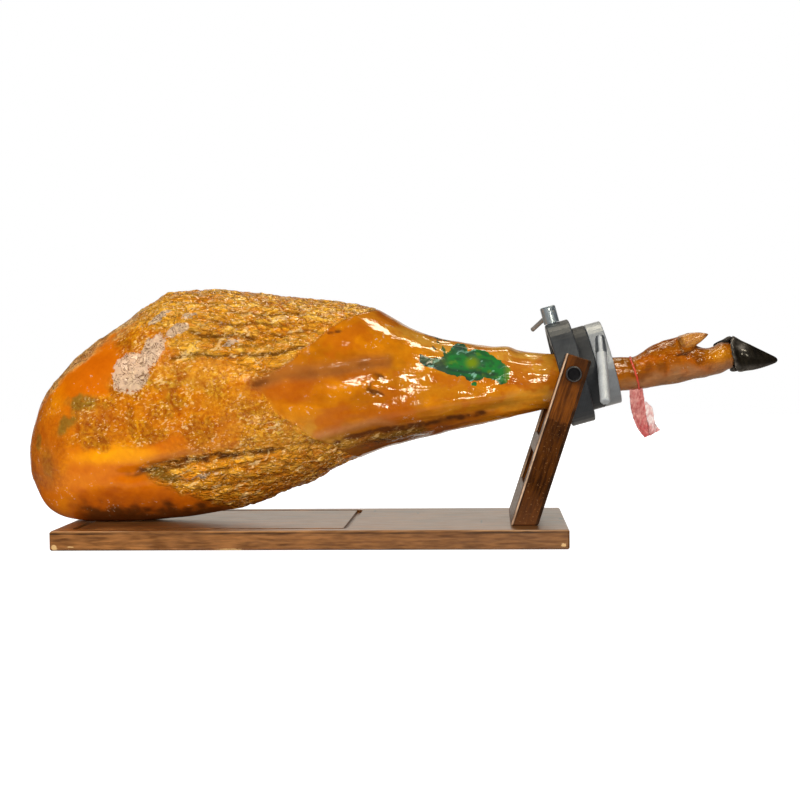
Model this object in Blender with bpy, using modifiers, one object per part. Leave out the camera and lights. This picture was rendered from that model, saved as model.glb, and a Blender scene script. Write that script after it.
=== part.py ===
"""A cured ham held in its wooden stand, in metres, +Z up.

The origin is the centre of the board's underside. The leg lies along X, thick end
at -X and foot at +X. Two leaning posts carry the tilting head, a ring that turns on
two bolts along Y, with the sleeve and the lock collar that grip the shank inside it.
"""

import math

import bmesh
import bpy
from mathutils import Vector

COLLECTION = "ham_on_stand"
GAP = 0.0003

# Board, with a shallow juice groove round the place where the ham lies.
BOARD_LENGTH = 0.530
BOARD_WIDTH = 0.215
BOARD_THICKNESS = 0.020
BOARD_EDGE = 0.0015
GROOVE_LEFT = -0.247
GROOVE_RIGHT = 0.0415
GROOVE_INSET = 0.0155
GROOVE_WIDTH = 0.0065
GROOVE_DEPTH = 0.003
GROOVE_CORNER = 0.009

# Two posts lean towards the foot, joined by a rail and a block flush with them.
POST_WIDTH = 0.027
POST_THICKNESS = 0.016
POST_LENGTH = 0.182
POST_LEAN = math.radians(18.3)
POST_BASE_X = 0.2205
POST_EDGE = 0.0012
CLEAR_WIDTH = 0.116
RAIL_START = 0.073
RAIL_END = 0.091
BLOCK_END = 0.038

# Tilting head: the bolts pass through the ring's centre.
BOLT_ALONG = 0.1638
HEAD_RISE = math.radians(15)
RING_RADIUS = 0.056
RING_WIDTH = 0.025
RING_EDGE = 0.0010
SLEEVE_RADIUS = 0.045
BORE_RADIUS = 0.0345
SLEEVE_START = -0.0115
SLEEVE_END = 0.0268
COLLAR_END = 0.0444
COLLAR_EDGE = 0.0006
TURN_STEPS = 44

BOLT_RADIUS = 0.004
BOLT_CAP_RADIUS = 0.0083
BOLT_CAP_HEIGHT = 0.0050
BOLT_REACH = 0.0500

# Clamp screw on the ring's crown, with a loose tommy bar through its head.
CLAMP_OFFSET = -0.0045
CLAMP_HEAD_RADIUS = 0.0083
CLAMP_HEAD_TOP = 0.0745
CLAMP_SHANK_RADIUS = 0.005
CLAMP_TIP = 0.0228
BAR_RADIUS = 0.0024
BAR_LENGTH = 0.038
BAR_HEIGHT = 0.0662
BAR_TURN = math.radians(137)
BAR_DROP = math.radians(21)
BAR_INNER_END = 0.0065

# Lock lever: a threaded stud and a thick rod, tangent to the collar.
LEVER_ANGLE = math.radians(50)
LEVER_RADIUS = 0.0415
LEVER_START = 0.0382
LEVER_SKEW = 0.190
LEVER_STUD_RADIUS = 0.0026
LEVER_STUD_LENGTH = 0.019
LEVER_ROD_RADIUS = 0.0053
LEVER_ROD_LENGTH = 0.064
POCKET_RADIUS = 0.0061

# Leg: each line gives a height or a half width, station by station along X.
LEG_START = -0.313
LEG_END = 0.4430
BUTT_ROUND = 0.080
BUTT_POWER = 2.05
BUTT_HEIGHT = 0.085
TOP_LINE = (
    (-0.313, 0.192), (-0.276, 0.197), (-0.236, 0.2190), (-0.183, 0.2530), (-0.150, 0.2685),
    (-0.117, 0.2700), (-0.026, 0.2600), (0.045, 0.2520), (0.068, 0.2440), (0.116, 0.2205),
    (0.160, 0.2090), (0.190, 0.2050), (0.204, 0.2058), (0.220, 0.2000), (0.250, 0.1955),
    (0.335, 0.1915), (0.362, 0.2045), (0.392, 0.2130), (0.410, 0.2035), (0.443, 0.2090),
)
BOTTOM_LINE = (
    (-0.313, 0.0180), (-0.200, 0.0185), (-0.150, 0.0225), (-0.080, 0.0345), (-0.020, 0.0560),
    (0.045, 0.0870), (0.116, 0.1080), (0.180, 0.1225), (0.244, 0.1370), (0.318, 0.1535),
    (0.345, 0.1575), (0.385, 0.1640), (0.443, 0.1770),
)
NEAR_LINE = (
    (-0.313, 0.058), (-0.230, 0.066), (-0.130, 0.070), (-0.040, 0.067), (0.050, 0.055),
    (0.120, 0.041), (0.200, 0.032), (0.270, 0.0235), (0.340, 0.0175), (0.390, 0.0215),
    (0.443, 0.0205),
)
FAR_SHARE = 0.88
SECTION_POWER = 2.25
SHANK_POWER = 2.0
LEG_RINGS = 60
LEG_SIDES = 32

# Folds in the leg's side: the line each follows, its half width and its depth.
# A negative depth makes a ridge. Each runs out over FOLD_FADE at its ends.
LOWER_FOLD = (((-0.190, 0.074), (-0.120, 0.088), (-0.040, 0.099)), 0.0070, 0.0045)
TENDON_RIDGE = (((-0.070, 0.168), (0.000, 0.184), (0.075, 0.192)), 0.0090, -0.0028)
UNDER_FOLD = (((0.005, 0.103), (0.100, 0.128), (0.215, 0.143)), 0.0060, 0.0045)
UPPER_FOLD = (((-0.160, 0.222), (-0.090, 0.214), (0.010, 0.232)), 0.0080, 0.0030)
FOLDS = (LOWER_FOLD, TENDON_RIDGE, UNDER_FOLD, UPPER_FOLD)
FOLD_FADE = 0.030

# Trotter: two hooves side by side, and two dewclaws above and behind them.
HOOF_START = 0.4433
HOOF_LENGTH = 0.0455
HOOF_TOP = 0.2120
HOOF_SOLE = 0.1755
HOOF_TIP_Z = 0.1880
HOOF_HALF_WIDTH = 0.0098
HOOF_CLEFT = 0.0008
HOOF_SPLAY = 0.0030
CLAW_ROOT = (0.386, 0.0105, 0.1985)
CLAW_TIP = (0.4155, 0.0165, 0.2145)
CLAW_RADIUS = 0.0078

# Seal tag: a thin loop round the ankle and a flat strap that hangs from it.
LOOP_X = 0.340
LOOP_SLANT = 0.0050
LOOP_RADIUS = 0.0006
LOOP_POINTS = 40
LOOP_CLEAR = 0.0010
STRAP_THICKNESS = 0.0010
STRAP_WIDTH = 0.0105
STRAP_LENGTH = 0.050
STRAP_TURN = math.radians(16)
STRAP_HEM = 0.026


def material(name, colour, roughness, metallic=0.0):
    found = bpy.data.materials.new(name)
    found.use_nodes = True
    shader = found.node_tree.nodes["Principled BSDF"]
    shader.inputs["Base Color"].default_value = (*colour, 1.0)
    shader.inputs["Roughness"].default_value = roughness
    shader.inputs["Metallic"].default_value = metallic
    found.diffuse_color = (*colour, 1.0)
    return found


def collection(name):
    made = bpy.data.collections.new(name)
    bpy.context.scene.collection.children.link(made)
    return made


def clear_scene():
    for thing in list(bpy.data.objects):
        bpy.data.objects.remove(thing, do_unlink=True)


def empty(name, parent=None, location=(0, 0, 0), rotation=(0, 0, 0)):
    holder = bpy.data.objects.new(name, None)
    PARTS.objects.link(holder)
    set_place(holder, parent, location, rotation)
    return holder


def set_place(thing, parent, location, rotation):
    thing.parent = parent
    thing.location = location
    thing.rotation_euler = rotation


def add_object(name, mesh, look, parent=None, location=(0, 0, 0), rotation=(0, 0, 0)):
    """Put a mesh in the scene; with no look it is a cutter."""
    thing = bpy.data.objects.new(name, mesh)
    if look is None:
        CUTTERS.objects.link(thing)
        thing.hide_render = True
        thing.display_type = "WIRE"
    else:
        PARTS.objects.link(thing)
        mesh.materials.append(look)
    set_place(thing, parent, location, rotation)
    return thing


def to_mesh(name, shape):
    bmesh.ops.recalc_face_normals(shape, faces=shape.faces)
    mesh = bpy.data.meshes.new(name)
    shape.to_mesh(mesh)
    shape.free()
    return mesh


def smooth(thing, angle=35):
    thing.data.shade_smooth()
    thing.data.set_sharp_from_angle(angle=math.radians(angle))


def soften(thing, width):
    """Round the edges a little, in one flat step."""
    bevel = thing.modifiers.new("edges", "BEVEL")
    bevel.width = width
    bevel.segments = 1
    bevel.limit_method = "ANGLE"
    return thing


def cut(thing, cutter):
    hole = thing.modifiers.new(cutter.name, "BOOLEAN")
    hole.operation = "DIFFERENCE"
    hole.object = cutter


def box_mesh(name, low, high):
    shape = bmesh.new()
    bmesh.ops.create_cube(shape, size=1.0)
    size = Vector(high) - Vector(low)
    bmesh.ops.scale(shape, vec=size, verts=shape.verts)
    bmesh.ops.translate(shape, vec=(Vector(high) + Vector(low)) / 2, verts=shape.verts)
    return to_mesh(name, shape)


def rod_mesh(name, radius, start, end, sides=24):
    """A cylinder along local Z."""
    shape = bmesh.new()
    bmesh.ops.create_cone(
        shape, cap_ends=True, segments=sides, radius1=radius, radius2=radius, depth=end - start
    )
    bmesh.ops.translate(shape, vec=(0, 0, (start + end) / 2), verts=shape.verts)
    return to_mesh(name, shape)


def turned(name, profile, look, steps=TURN_STEPS, closed=False, **place):
    """Turn a profile of (radius, height) about local Z, running down its outer side."""
    mesh = bpy.data.meshes.new(name)
    points = [(radius, 0.0, height) for radius, height in profile]
    count = len(points)
    edges = [(index, index + 1) for index in range(count - 1)]
    if closed:
        edges.append((count - 1, 0))
    mesh.from_pydata(points, edges, [])
    thing = add_object(name, mesh, look, **place)
    screw = thing.modifiers.new("turn", "SCREW")
    screw.steps = steps
    screw.render_steps = steps
    screw.use_merge_vertices = True
    screw.merge_threshold = 0.00001
    screw.use_smooth_shade = False
    return thing


def tube_profile(inner, outer, start, end, edge):
    """A closed ring profile with its outer corners broken."""
    return (
        (outer - edge, end),
        (outer, end - edge),
        (outer, start + edge),
        (outer - edge, start),
        (inner, start),
        (inner, end),
    )


def prism(name, outline, y_low, y_high, look):
    """A flat outline in X and Z, as thick as the stretch of Y."""
    curve = bpy.data.curves.new(name, "CURVE")
    curve.dimensions = "2D"
    curve.fill_mode = "BOTH"
    curve.extrude = (y_high - y_low) / 2
    line = curve.splines.new("POLY")
    line.points.add(len(outline) - 1)
    for point, (x, z) in zip(line.points, outline):
        point.co = (x, z, 0.0, 1.0)
    line.use_cyclic_u = True
    place = ((0, (y_high + y_low) / 2, 0), (math.pi / 2, 0, 0))
    return curve_to_mesh(name, curve, look, *place)


def curve_to_mesh(name, curve, look, location=(0, 0, 0), rotation=(0, 0, 0)):
    source = bpy.data.objects.new(name + "_curve", curve)
    bpy.context.scene.collection.objects.link(source)
    source.location = location
    source.rotation_euler = rotation
    bpy.context.view_layer.update()
    evaluated = source.evaluated_get(bpy.context.evaluated_depsgraph_get())
    mesh = bpy.data.meshes.new_from_object(evaluated)
    mesh.name = name
    mesh.transform(source.matrix_world)
    bpy.data.objects.remove(source)
    shape = bmesh.new()
    shape.from_mesh(mesh)
    bmesh.ops.remove_doubles(shape, verts=shape.verts, dist=0.00001)
    bmesh.ops.recalc_face_normals(shape, faces=shape.faces)
    shape.to_mesh(mesh)
    shape.free()
    mesh.materials.clear()
    return add_object(name, mesh, look)


def smooth_line(points):
    """A curve through the points with no overshoot, as a function of X."""
    xs = [point[0] for point in points]
    ys = [point[1] for point in points]
    slopes = [(ys[i + 1] - ys[i]) / (xs[i + 1] - xs[i]) for i in range(len(xs) - 1)]
    tangents = [slopes[0]]
    for before, after in zip(slopes, slopes[1:]):
        flat = before * after <= 0
        tangents.append(0.0 if flat else 2 * before * after / (before + after))
    tangents.append(slopes[-1])

    def value(x):
        x = min(max(x, xs[0]), xs[-1])
        i = max(k for k in range(len(xs) - 1) if x >= xs[k])
        span = xs[i + 1] - xs[i]
        t = (x - xs[i]) / span
        rest = 1 - t
        ends = ys[i] * (1 + 2 * t) * rest**2 + ys[i + 1] * (3 - 2 * t) * t**2
        return ends + span * (tangents[i] * t * rest**2 - tangents[i + 1] * rest * t**2)

    return value


def ease(low, high, value):
    t = min(max((value - low) / (high - low), 0.0), 1.0)
    return t * t * (3 - 2 * t)


def loft(name, rings, look):
    """Skin a row of rings of equal count; a ring of one point closes an end."""
    shape = bmesh.new()
    rows = [[shape.verts.new(point) for point in ring] for ring in rings]
    for low, high in zip(rows, rows[1:]):
        count = max(len(low), len(high))
        for k in range(count):
            after = (k + 1) % count
            corners = [low[k % len(low)], low[after % len(low)]]
            corners += [high[after % len(high)], high[k % len(high)]]
            shape.faces.new(list(dict.fromkeys(corners)))
    for row in (rows[0], rows[-1]):
        if len(row) > 2:
            shape.faces.new(row)
    thing = add_object(name, to_mesh(name, shape), look)
    smooth(thing, 50)
    return thing


def oval(x, y, z, half_width, half_height, sides, power=2.0):
    """An upright superellipse across X."""
    ring = []
    for k in range(sides):
        angle = 2 * math.pi * k / sides
        across = math.copysign(abs(math.cos(angle)) ** (2 / power), math.cos(angle))
        upward = math.copysign(abs(math.sin(angle)) ** (2 / power), math.sin(angle))
        ring.append((x, y + half_width * across, z + half_height * upward))
    return ring


def make_board(look):
    size = (BOARD_LENGTH / 2, BOARD_WIDTH / 2)
    mesh = box_mesh("board", (-size[0], -size[1], 0), (size[0], size[1], BOARD_THICKNESS))
    board = soften(add_object("board", mesh, look), BOARD_EDGE)
    side = size[1] - GROOVE_INSET
    low = (GROOVE_LEFT, -side, BOARD_THICKNESS - GROOVE_DEPTH)
    high = (GROOVE_RIGHT, side, BOARD_THICKNESS + GROOVE_DEPTH)
    outer = groove_block("groove_outer", low, high, GROOVE_CORNER)
    low = (low[0] + GROOVE_WIDTH, low[1] + GROOVE_WIDTH, 0.0)
    high = (high[0] - GROOVE_WIDTH, high[1] - GROOVE_WIDTH, 2 * BOARD_THICKNESS)
    cut(outer, groove_block("groove_island", low, high, GROOVE_CORNER - GROOVE_WIDTH))
    cut(board, outer)


def groove_block(name, low, high, corner):
    """A block with its upright edges rounded."""
    block = add_object(name, box_mesh(name, low, high), None)
    weights = block.data.attributes.new("bevel_weight_edge", "FLOAT", "EDGE")
    for edge in block.data.edges:
        ends = [block.data.vertices[index].co for index in edge.vertices]
        weights.data[edge.index].value = 1.0 if abs(ends[0].z - ends[1].z) > 0.001 else 0.0
    bevel = block.modifiers.new("corners", "BEVEL")
    bevel.limit_method = "WEIGHT"
    bevel.width = corner
    bevel.segments = 3
    return block


def along_post(distance, across=0.0):
    """A point in X and Z, up the posts' middle line and across it."""
    x = POST_BASE_X + distance * math.sin(POST_LEAN) + across * math.cos(POST_LEAN)
    z = BOARD_THICKNESS + distance * math.cos(POST_LEAN) - across * math.sin(POST_LEAN)
    return x, z


def leaning_outline(start, end):
    """A stretch of post; from zero it is cut level, a gap above the board."""
    half = POST_WIDTH / 2
    top = [along_post(end, half), along_post(end, -half)]
    if start > 0:
        return [along_post(start, -half), along_post(start, half), *top]
    shift = half / math.cos(POST_LEAN)
    foot = BOARD_THICKNESS + GAP
    return [(POST_BASE_X - shift, foot), (POST_BASE_X + shift, foot), *top]


def make_stand(wood):
    inner = CLEAR_WIDTH / 2
    bolt_x, bolt_z = along_post(BOLT_ALONG)
    for name, side in (("post_near", -1), ("post_far", 1)):
        span = sorted((side * inner, side * (inner + POST_THICKNESS)))
        post = prism(name, leaning_outline(0, POST_LENGTH), *span, wood)
        soften(post, POST_EDGE)
        mesh = rod_mesh(name + "_bore", BOLT_RADIUS + GAP, -POST_THICKNESS, POST_THICKNESS)
        middle = side * (inner + POST_THICKNESS / 2)
        place = {"location": (bolt_x, middle, bolt_z), "rotation": (math.pi / 2, 0, 0)}
        cut(post, add_object(name + "_bore", mesh, None, **place))
    reach = inner - GAP
    rail = prism("rail_upper", leaning_outline(RAIL_START, RAIL_END), -reach, reach, wood)
    block = prism("block_lower", leaning_outline(0, BLOCK_END), -reach, reach, wood)
    soften(rail, POST_EDGE)
    soften(block, POST_EDGE)


def make_rings(head, dark, bright):
    """Local Z is the head's axis, towards the foot; local -X is its crown."""
    half = RING_WIDTH / 2
    inner = SLEEVE_RADIUS + GAP
    profile = tube_profile(inner, RING_RADIUS, -half, half, RING_EDGE)
    ring = turned("ring_outer", profile, dark, closed=True, parent=head)
    profile = tube_profile(BORE_RADIUS, SLEEVE_RADIUS, SLEEVE_START, SLEEVE_END, COLLAR_EDGE)
    sleeve = turned("sleeve_inner", profile, dark, closed=True, parent=head)
    profile = tube_profile(
        BORE_RADIUS, SLEEVE_RADIUS, SLEEVE_END + GAP, COLLAR_END, COLLAR_EDGE
    )
    collar = turned("lock_collar", profile, bright, closed=True, parent=head)
    screw_hole = rod_mesh("clamp_bore", CLAMP_SHANK_RADIUS + GAP, 0.020, 0.070)
    place = {"parent": head, "location": (0, 0, CLAMP_OFFSET), "rotation": (0, -math.pi / 2, 0)}
    bore = add_object("clamp_bore", screw_hole, None, **place)
    cut(ring, bore)
    cut(sleeve, bore)
    for side in (-1, 1):
        mesh = rod_mesh("bolt_bore", BOLT_RADIUS + GAP, BOLT_REACH - GAP, 0.070)
        turn = (-side * math.pi / 2, 0, 0)
        cut(ring, add_object(f"bolt_bore_{side}", mesh, None, parent=head, rotation=turn))
    for thing in (ring, sleeve, collar):
        smooth(thing)
    return sleeve, collar


def make_bolts(head, black):
    face = CLEAR_WIDTH / 2 + POST_THICKNESS + GAP
    cap = face + BOLT_CAP_HEIGHT
    rim = BOLT_CAP_RADIUS
    profile = (
        (0.0, cap - 0.0006),
        (rim * 0.60, cap - 0.0006),
        (rim * 0.72, cap),
        (rim * 0.86, cap),
        (rim, cap - 0.0012),
        (rim, face),
        (BOLT_RADIUS, face),
        (BOLT_RADIUS, BOLT_REACH),
        (0.0, BOLT_REACH),
    )
    for name, side in (("bolt_near", -1), ("bolt_far", 1)):
        turn = (-side * math.pi / 2, 0, 0)
        smooth(turned(name, profile, black, steps=24, parent=head, rotation=turn))


def make_clamp(head, zinc, steel):
    """The screw stands on the ring's crown; the bar slopes down through its head."""
    holder = empty("clamp_axis", head, (0, 0, CLAMP_OFFSET), (0, -math.pi / 2, 0))
    seat = RING_RADIUS + GAP
    wide = CLAMP_HEAD_RADIUS
    profile = (
        (0.0, CLAMP_HEAD_TOP),
        (wide - 0.0010, CLAMP_HEAD_TOP),
        (wide, CLAMP_HEAD_TOP - 0.0010),
        (wide, seat),
        (CLAMP_SHANK_RADIUS, seat),
        (CLAMP_SHANK_RADIUS, CLAMP_TIP + 0.0015),
        (CLAMP_SHANK_RADIUS - 0.0015, CLAMP_TIP),
        (0.0, CLAMP_TIP),
    )
    screw = turned("clamp_screw", profile, zinc, steps=28, parent=holder)
    slope = (0, math.pi / 2 + BAR_DROP, BAR_TURN)
    place = {"parent": holder, "location": (0, 0, BAR_HEIGHT), "rotation": slope}
    hole = rod_mesh("bar_hole", BAR_RADIUS + GAP, -0.020, 0.020, 16)
    cut(screw, add_object("bar_hole", hole, None, **place))
    smooth(screw)
    mesh = rod_mesh("tommy_bar", BAR_RADIUS, -BAR_INNER_END, BAR_LENGTH - BAR_INNER_END, 14)
    smooth(soften(add_object("tommy_bar", mesh, steel, **place), 0.0005))


def make_lever(head, sleeve, collar, steel):
    """Stud and rod lie on one tangent line, a little askew to the collar's plane."""
    crown = LEVER_RADIUS * math.cos(LEVER_ANGLE)
    near = LEVER_RADIUS * math.sin(LEVER_ANGLE)
    start = Vector((-crown, -near, LEVER_START))
    tangent = Vector((math.sin(LEVER_ANGLE), -math.cos(LEVER_ANGLE), -LEVER_SKEW))
    turn = tangent.to_track_quat("Z", "Y").to_euler()
    place = {"parent": head, "location": start, "rotation": turn}
    stud = LEVER_STUD_RADIUS
    rod = LEVER_ROD_RADIUS
    shoulder = LEVER_STUD_LENGTH
    end = shoulder + LEVER_ROD_LENGTH
    profile = (
        (0.0, end),
        (rod - 0.0016, end),
        (rod - 0.0004, end - 0.0008),
        (rod, end - 0.0022),
        (rod, shoulder + 0.0014),
        (rod - 0.0012, shoulder),
        (stud, shoulder),
        (stud, -0.0060),
        (0.0, -0.0060),
    )
    smooth(turned("lock_lever", profile, steel, steps=20, **place))
    bore = add_object("stud_bore", rod_mesh("stud_bore", stud + GAP, -0.0063, 0.010), None, **place)
    cut(collar, bore)
    quarter = [math.pi / 2 * k / 5 for k in range(6)]
    nose = [(POCKET_RADIUS * math.sin(a), 0.002 - POCKET_RADIUS * math.cos(a)) for a in quarter]
    pocket = [(0.0, end), (POCKET_RADIUS, end), *reversed(nose)]
    cutter = turned("lever_pocket", pocket, None, steps=20, **place)
    cut(collar, cutter)
    cut(sleeve, cutter)


TOP_AT = smooth_line(TOP_LINE)
BOTTOM_AT = smooth_line(BOTTOM_LINE)
NEAR_AT = smooth_line(NEAR_LINE)
FOLDS_AT = [(smooth_line(points), points, width, depth) for points, width, depth in FOLDS]


def fold_depth(x, z):
    """How far the folds draw the leg's side in, where they pass near a point."""
    total = 0.0
    for line, points, width, depth in FOLDS_AT:
        first = points[0][0]
        last = points[-1][0]
        fade = ease(first - FOLD_FADE, first, x) * (1 - ease(last, last + FOLD_FADE, x))
        total += depth * fade * math.exp(-(((z - line(x)) / width) ** 2))
    return total


def leg_ring(x):
    """One section of the leg, flat where it rests on the board."""
    t = min((x - LEG_START) / BUTT_ROUND, 1.0)
    swell = (1 - (1 - t) ** BUTT_POWER) ** (1 / BUTT_POWER)
    top = BUTT_HEIGHT + (TOP_AT(x) - BUTT_HEIGHT) * swell
    bottom = BUTT_HEIGHT + (BOTTOM_AT(x) - BUTT_HEIGHT) * swell
    near = NEAR_AT(x) * swell
    slender = ease(0.05, 0.22, x)
    power = SECTION_POWER + (SHANK_POWER - SECTION_POWER) * slender
    share = FAR_SHARE + (1 - FAR_SHARE) * slender
    middle = (top + bottom) / 2
    ring = []
    for _, y, z in oval(x, 0.0, middle, near, (top - bottom) / 2, LEG_SIDES, power):
        side = y / near
        y *= share if y > 0 else 1.0
        y -= math.copysign(fold_depth(x, z) * side * side * swell, side)
        ring.append((x, y, max(z, BOARD_THICKNESS + GAP)))
    return ring


def leg_stations():
    """Rings close together at the round butt, then evenly spaced to the foot."""
    share = 0.22
    scale = (LEG_END - LEG_START) / (2 * share - share * share)
    for k in range(1, LEG_RINGS + 1):
        u = k / LEG_RINGS
        step = u * u if u < share else 2 * share * u - share * share
        yield LEG_START + scale * step


def make_leg(skin, claw, horn):
    rings = [[(LEG_START, 0.0, BUTT_HEIGHT)]]
    rings += [leg_ring(x) for x in leg_stations()]
    leg = loft("ham_leg", rings, skin)
    for name, side in (("dewclaw_near", -1), ("dewclaw_far", 1)):
        loft(name, claw_rings(side, 0.0), claw)
        cut(leg, loft(name + "_socket", claw_rings(side, GAP), None))
    for name, side in (("hoof_near", -1), ("hoof_far", 1)):
        loft(name, hoof_rings(side), horn)


def claw_rings(side, extra):
    """A blunt cone that curves up and outwards from its root."""
    root = Vector((CLAW_ROOT[0], side * CLAW_ROOT[1], CLAW_ROOT[2]))
    tip = Vector((CLAW_TIP[0], side * CLAW_TIP[1], CLAW_TIP[2]))
    along = (tip - root).normalized()
    across = Vector((0, 1, 0))
    upward = along.cross(across)
    rings = []
    for k in range(7):
        t = k / 6
        radius = CLAW_RADIUS * (1 - t**1.8) ** 0.8 * (0.90 + 0.25 * math.sin(math.pi * t)) + extra
        centre = root.lerp(tip, t) + upward * (0.0016 * math.sin(math.pi * t))
        if k == 6:
            rings.append([centre + along * extra])
            continue
        angles = [2 * math.pi * j / 14 for j in range(14)]
        spokes = [across * math.cos(a) * 0.85 + upward * math.sin(a) for a in angles]
        rings.append([centre + spoke * radius for spoke in spokes])
    rings[0] = [point - along * extra for point in rings[0]]
    return rings


def hoof_rings(side):
    """A wedge, tall at the toe's skin and drawn to a blunt tip, one of a pair."""
    rings = []
    steps = 9
    for k in range(steps):
        t = k / (steps - 1)
        top = HOOF_TOP + (HOOF_TIP_Z + 0.0015 - HOOF_TOP) * t**1.25
        sole = HOOF_SOLE + (HOOF_TIP_Z - 0.0025 - HOOF_SOLE) * t**2.6
        wide = HOOF_HALF_WIDTH * (1 - 0.80 * t**1.7)
        centre = side * (HOOF_CLEFT + HOOF_HALF_WIDTH + HOOF_SPLAY * t)
        x = HOOF_START + HOOF_LENGTH * t
        rings.append(oval(x, centre, (top + sole) / 2, wide, (top - sole) / 2, 18, 2.5))
    return rings


def make_tag(red):
    """The loop lies close round the ankle, and the strap hangs under it."""
    curve = bpy.data.curves.new("tag_loop", "CURVE")
    curve.dimensions = "3D"
    curve.bevel_depth = LOOP_RADIUS
    curve.bevel_resolution = 1
    line = curve.splines.new("POLY")
    line.points.add(LOOP_POINTS - 1)
    line.use_cyclic_u = True
    for k, point in enumerate(line.points):
        angle = 2 * math.pi * k / LOOP_POINTS
        x = LOOP_X - LOOP_SLANT * math.sin(angle)
        middle = (TOP_AT(x) + BOTTOM_AT(x)) / 2
        clear = LOOP_RADIUS + LOOP_CLEAR
        half = (TOP_AT(x) - BOTTOM_AT(x)) / 2 + clear
        y = (NEAR_AT(x) + clear) * math.cos(angle)
        point.co = (x, y, middle + half * math.sin(angle), 1.0)
    smooth(curve_to_mesh("tag_loop", curve, red), 60)
    strap_top = BOTTOM_AT(LOOP_X + LOOP_SLANT) - 2 * LOOP_RADIUS - LOOP_CLEAR - GAP
    rings = []
    steps = 8
    for k in range(steps + 1):
        t = k / steps
        x = LOOP_X + 0.0005 + STRAP_LENGTH * t * math.sin(STRAP_TURN)
        z = strap_top - STRAP_LENGTH * t * math.cos(STRAP_TURN)
        y = -0.004 + 0.003 * math.sin(2.2 * math.pi * t)
        left = x - STRAP_WIDTH / 2 * (1 - 0.25 * t)
        right = x + STRAP_WIDTH / 2 + (STRAP_HEM - STRAP_WIDTH) / 2 * ease(0.35, 1.0, t)
        half = STRAP_THICKNESS / 2
        tilt = 0.004 * ease(0.3, 1.0, t)
        rings.append([(left, y - half, z), (right, y - half - tilt, z + tilt),
                      (right, y + half - tilt, z + tilt), (left, y + half, z)])
    loft("tag_strap", rings, red)


clear_scene()
PARTS = collection(COLLECTION)
CUTTERS = collection("cutters")


def main():
    wood = material("varnished_wood", (0.28, 0.13, 0.06), 0.35)
    dark = material("dark_metal", (0.13, 0.13, 0.14), 0.42, 0.8)
    bright = material("bright_metal", (0.62, 0.61, 0.59), 0.35, 1.0)
    steel = material("matt_aluminium", (0.70, 0.70, 0.68), 0.45, 1.0)
    zinc = material("zinc_plate", (0.60, 0.64, 0.66), 0.30, 1.0)
    black = material("black_bolt", (0.02, 0.02, 0.024), 0.45, 0.3)
    skin = material("cured_skin", (0.72, 0.32, 0.05), 0.35)
    claw = material("dewclaw_horn", (0.62, 0.30, 0.07), 0.40)
    horn = material("hoof_horn", (0.030, 0.022, 0.018), 0.30)
    red = material("red_plastic", (0.80, 0.10, 0.12), 0.35)
    make_board(wood)
    make_stand(wood)
    bolt_x, bolt_z = along_post(BOLT_ALONG)
    head = empty("head_axis", None, (bolt_x, 0, bolt_z), (0, math.pi / 2 - HEAD_RISE, 0))
    sleeve, collar = make_rings(head, dark, bright)
    make_bolts(head, black)
    make_clamp(head, zinc, steel)
    make_lever(head, sleeve, collar, steel)
    make_leg(skin, claw, horn)
    make_tag(red)


main()
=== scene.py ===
"""Looks of the cured ham on its stand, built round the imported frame. Metres, +Z up.

The leg, the hooves and the tag are finer meshes that stand for their solids; the stand's
wood and the head's metal keep their solids, with materials of their own.
"""

import math
from functools import reduce
from types import SimpleNamespace

import bmesh
import bpy
import numpy as np
from mathutils import Matrix, Vector, noise


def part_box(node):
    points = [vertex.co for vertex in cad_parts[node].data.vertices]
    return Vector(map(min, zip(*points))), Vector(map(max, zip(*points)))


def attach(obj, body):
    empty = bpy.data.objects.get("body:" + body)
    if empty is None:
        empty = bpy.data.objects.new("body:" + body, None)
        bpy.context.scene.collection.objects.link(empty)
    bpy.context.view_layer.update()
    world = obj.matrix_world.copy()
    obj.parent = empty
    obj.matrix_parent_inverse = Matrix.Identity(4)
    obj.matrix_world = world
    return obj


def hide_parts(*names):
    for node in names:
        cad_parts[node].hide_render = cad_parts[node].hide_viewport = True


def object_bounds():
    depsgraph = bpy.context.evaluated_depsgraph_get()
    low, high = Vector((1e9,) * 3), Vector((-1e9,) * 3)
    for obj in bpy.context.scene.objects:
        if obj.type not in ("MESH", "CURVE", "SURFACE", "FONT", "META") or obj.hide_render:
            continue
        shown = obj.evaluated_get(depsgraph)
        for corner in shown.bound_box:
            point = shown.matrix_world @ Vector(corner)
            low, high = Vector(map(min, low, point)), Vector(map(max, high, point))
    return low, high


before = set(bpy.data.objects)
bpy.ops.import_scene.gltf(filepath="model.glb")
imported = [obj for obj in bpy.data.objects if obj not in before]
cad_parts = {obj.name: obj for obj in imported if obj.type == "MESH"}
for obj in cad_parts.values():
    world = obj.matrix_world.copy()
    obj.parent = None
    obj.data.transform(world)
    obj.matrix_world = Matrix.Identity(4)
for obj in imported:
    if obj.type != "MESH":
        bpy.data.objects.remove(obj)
CAD_BOX = [list(corner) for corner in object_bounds()]

BOARD_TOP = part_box("board")[1].z
GAP = 0.0003
HEAD_RISE = math.radians(15)
POST_LEAN = math.radians(18.3)


def metres(*points):
    """Points given in millimetres."""
    return tuple((first / 1000, second / 1000) for first, second in points)


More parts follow.
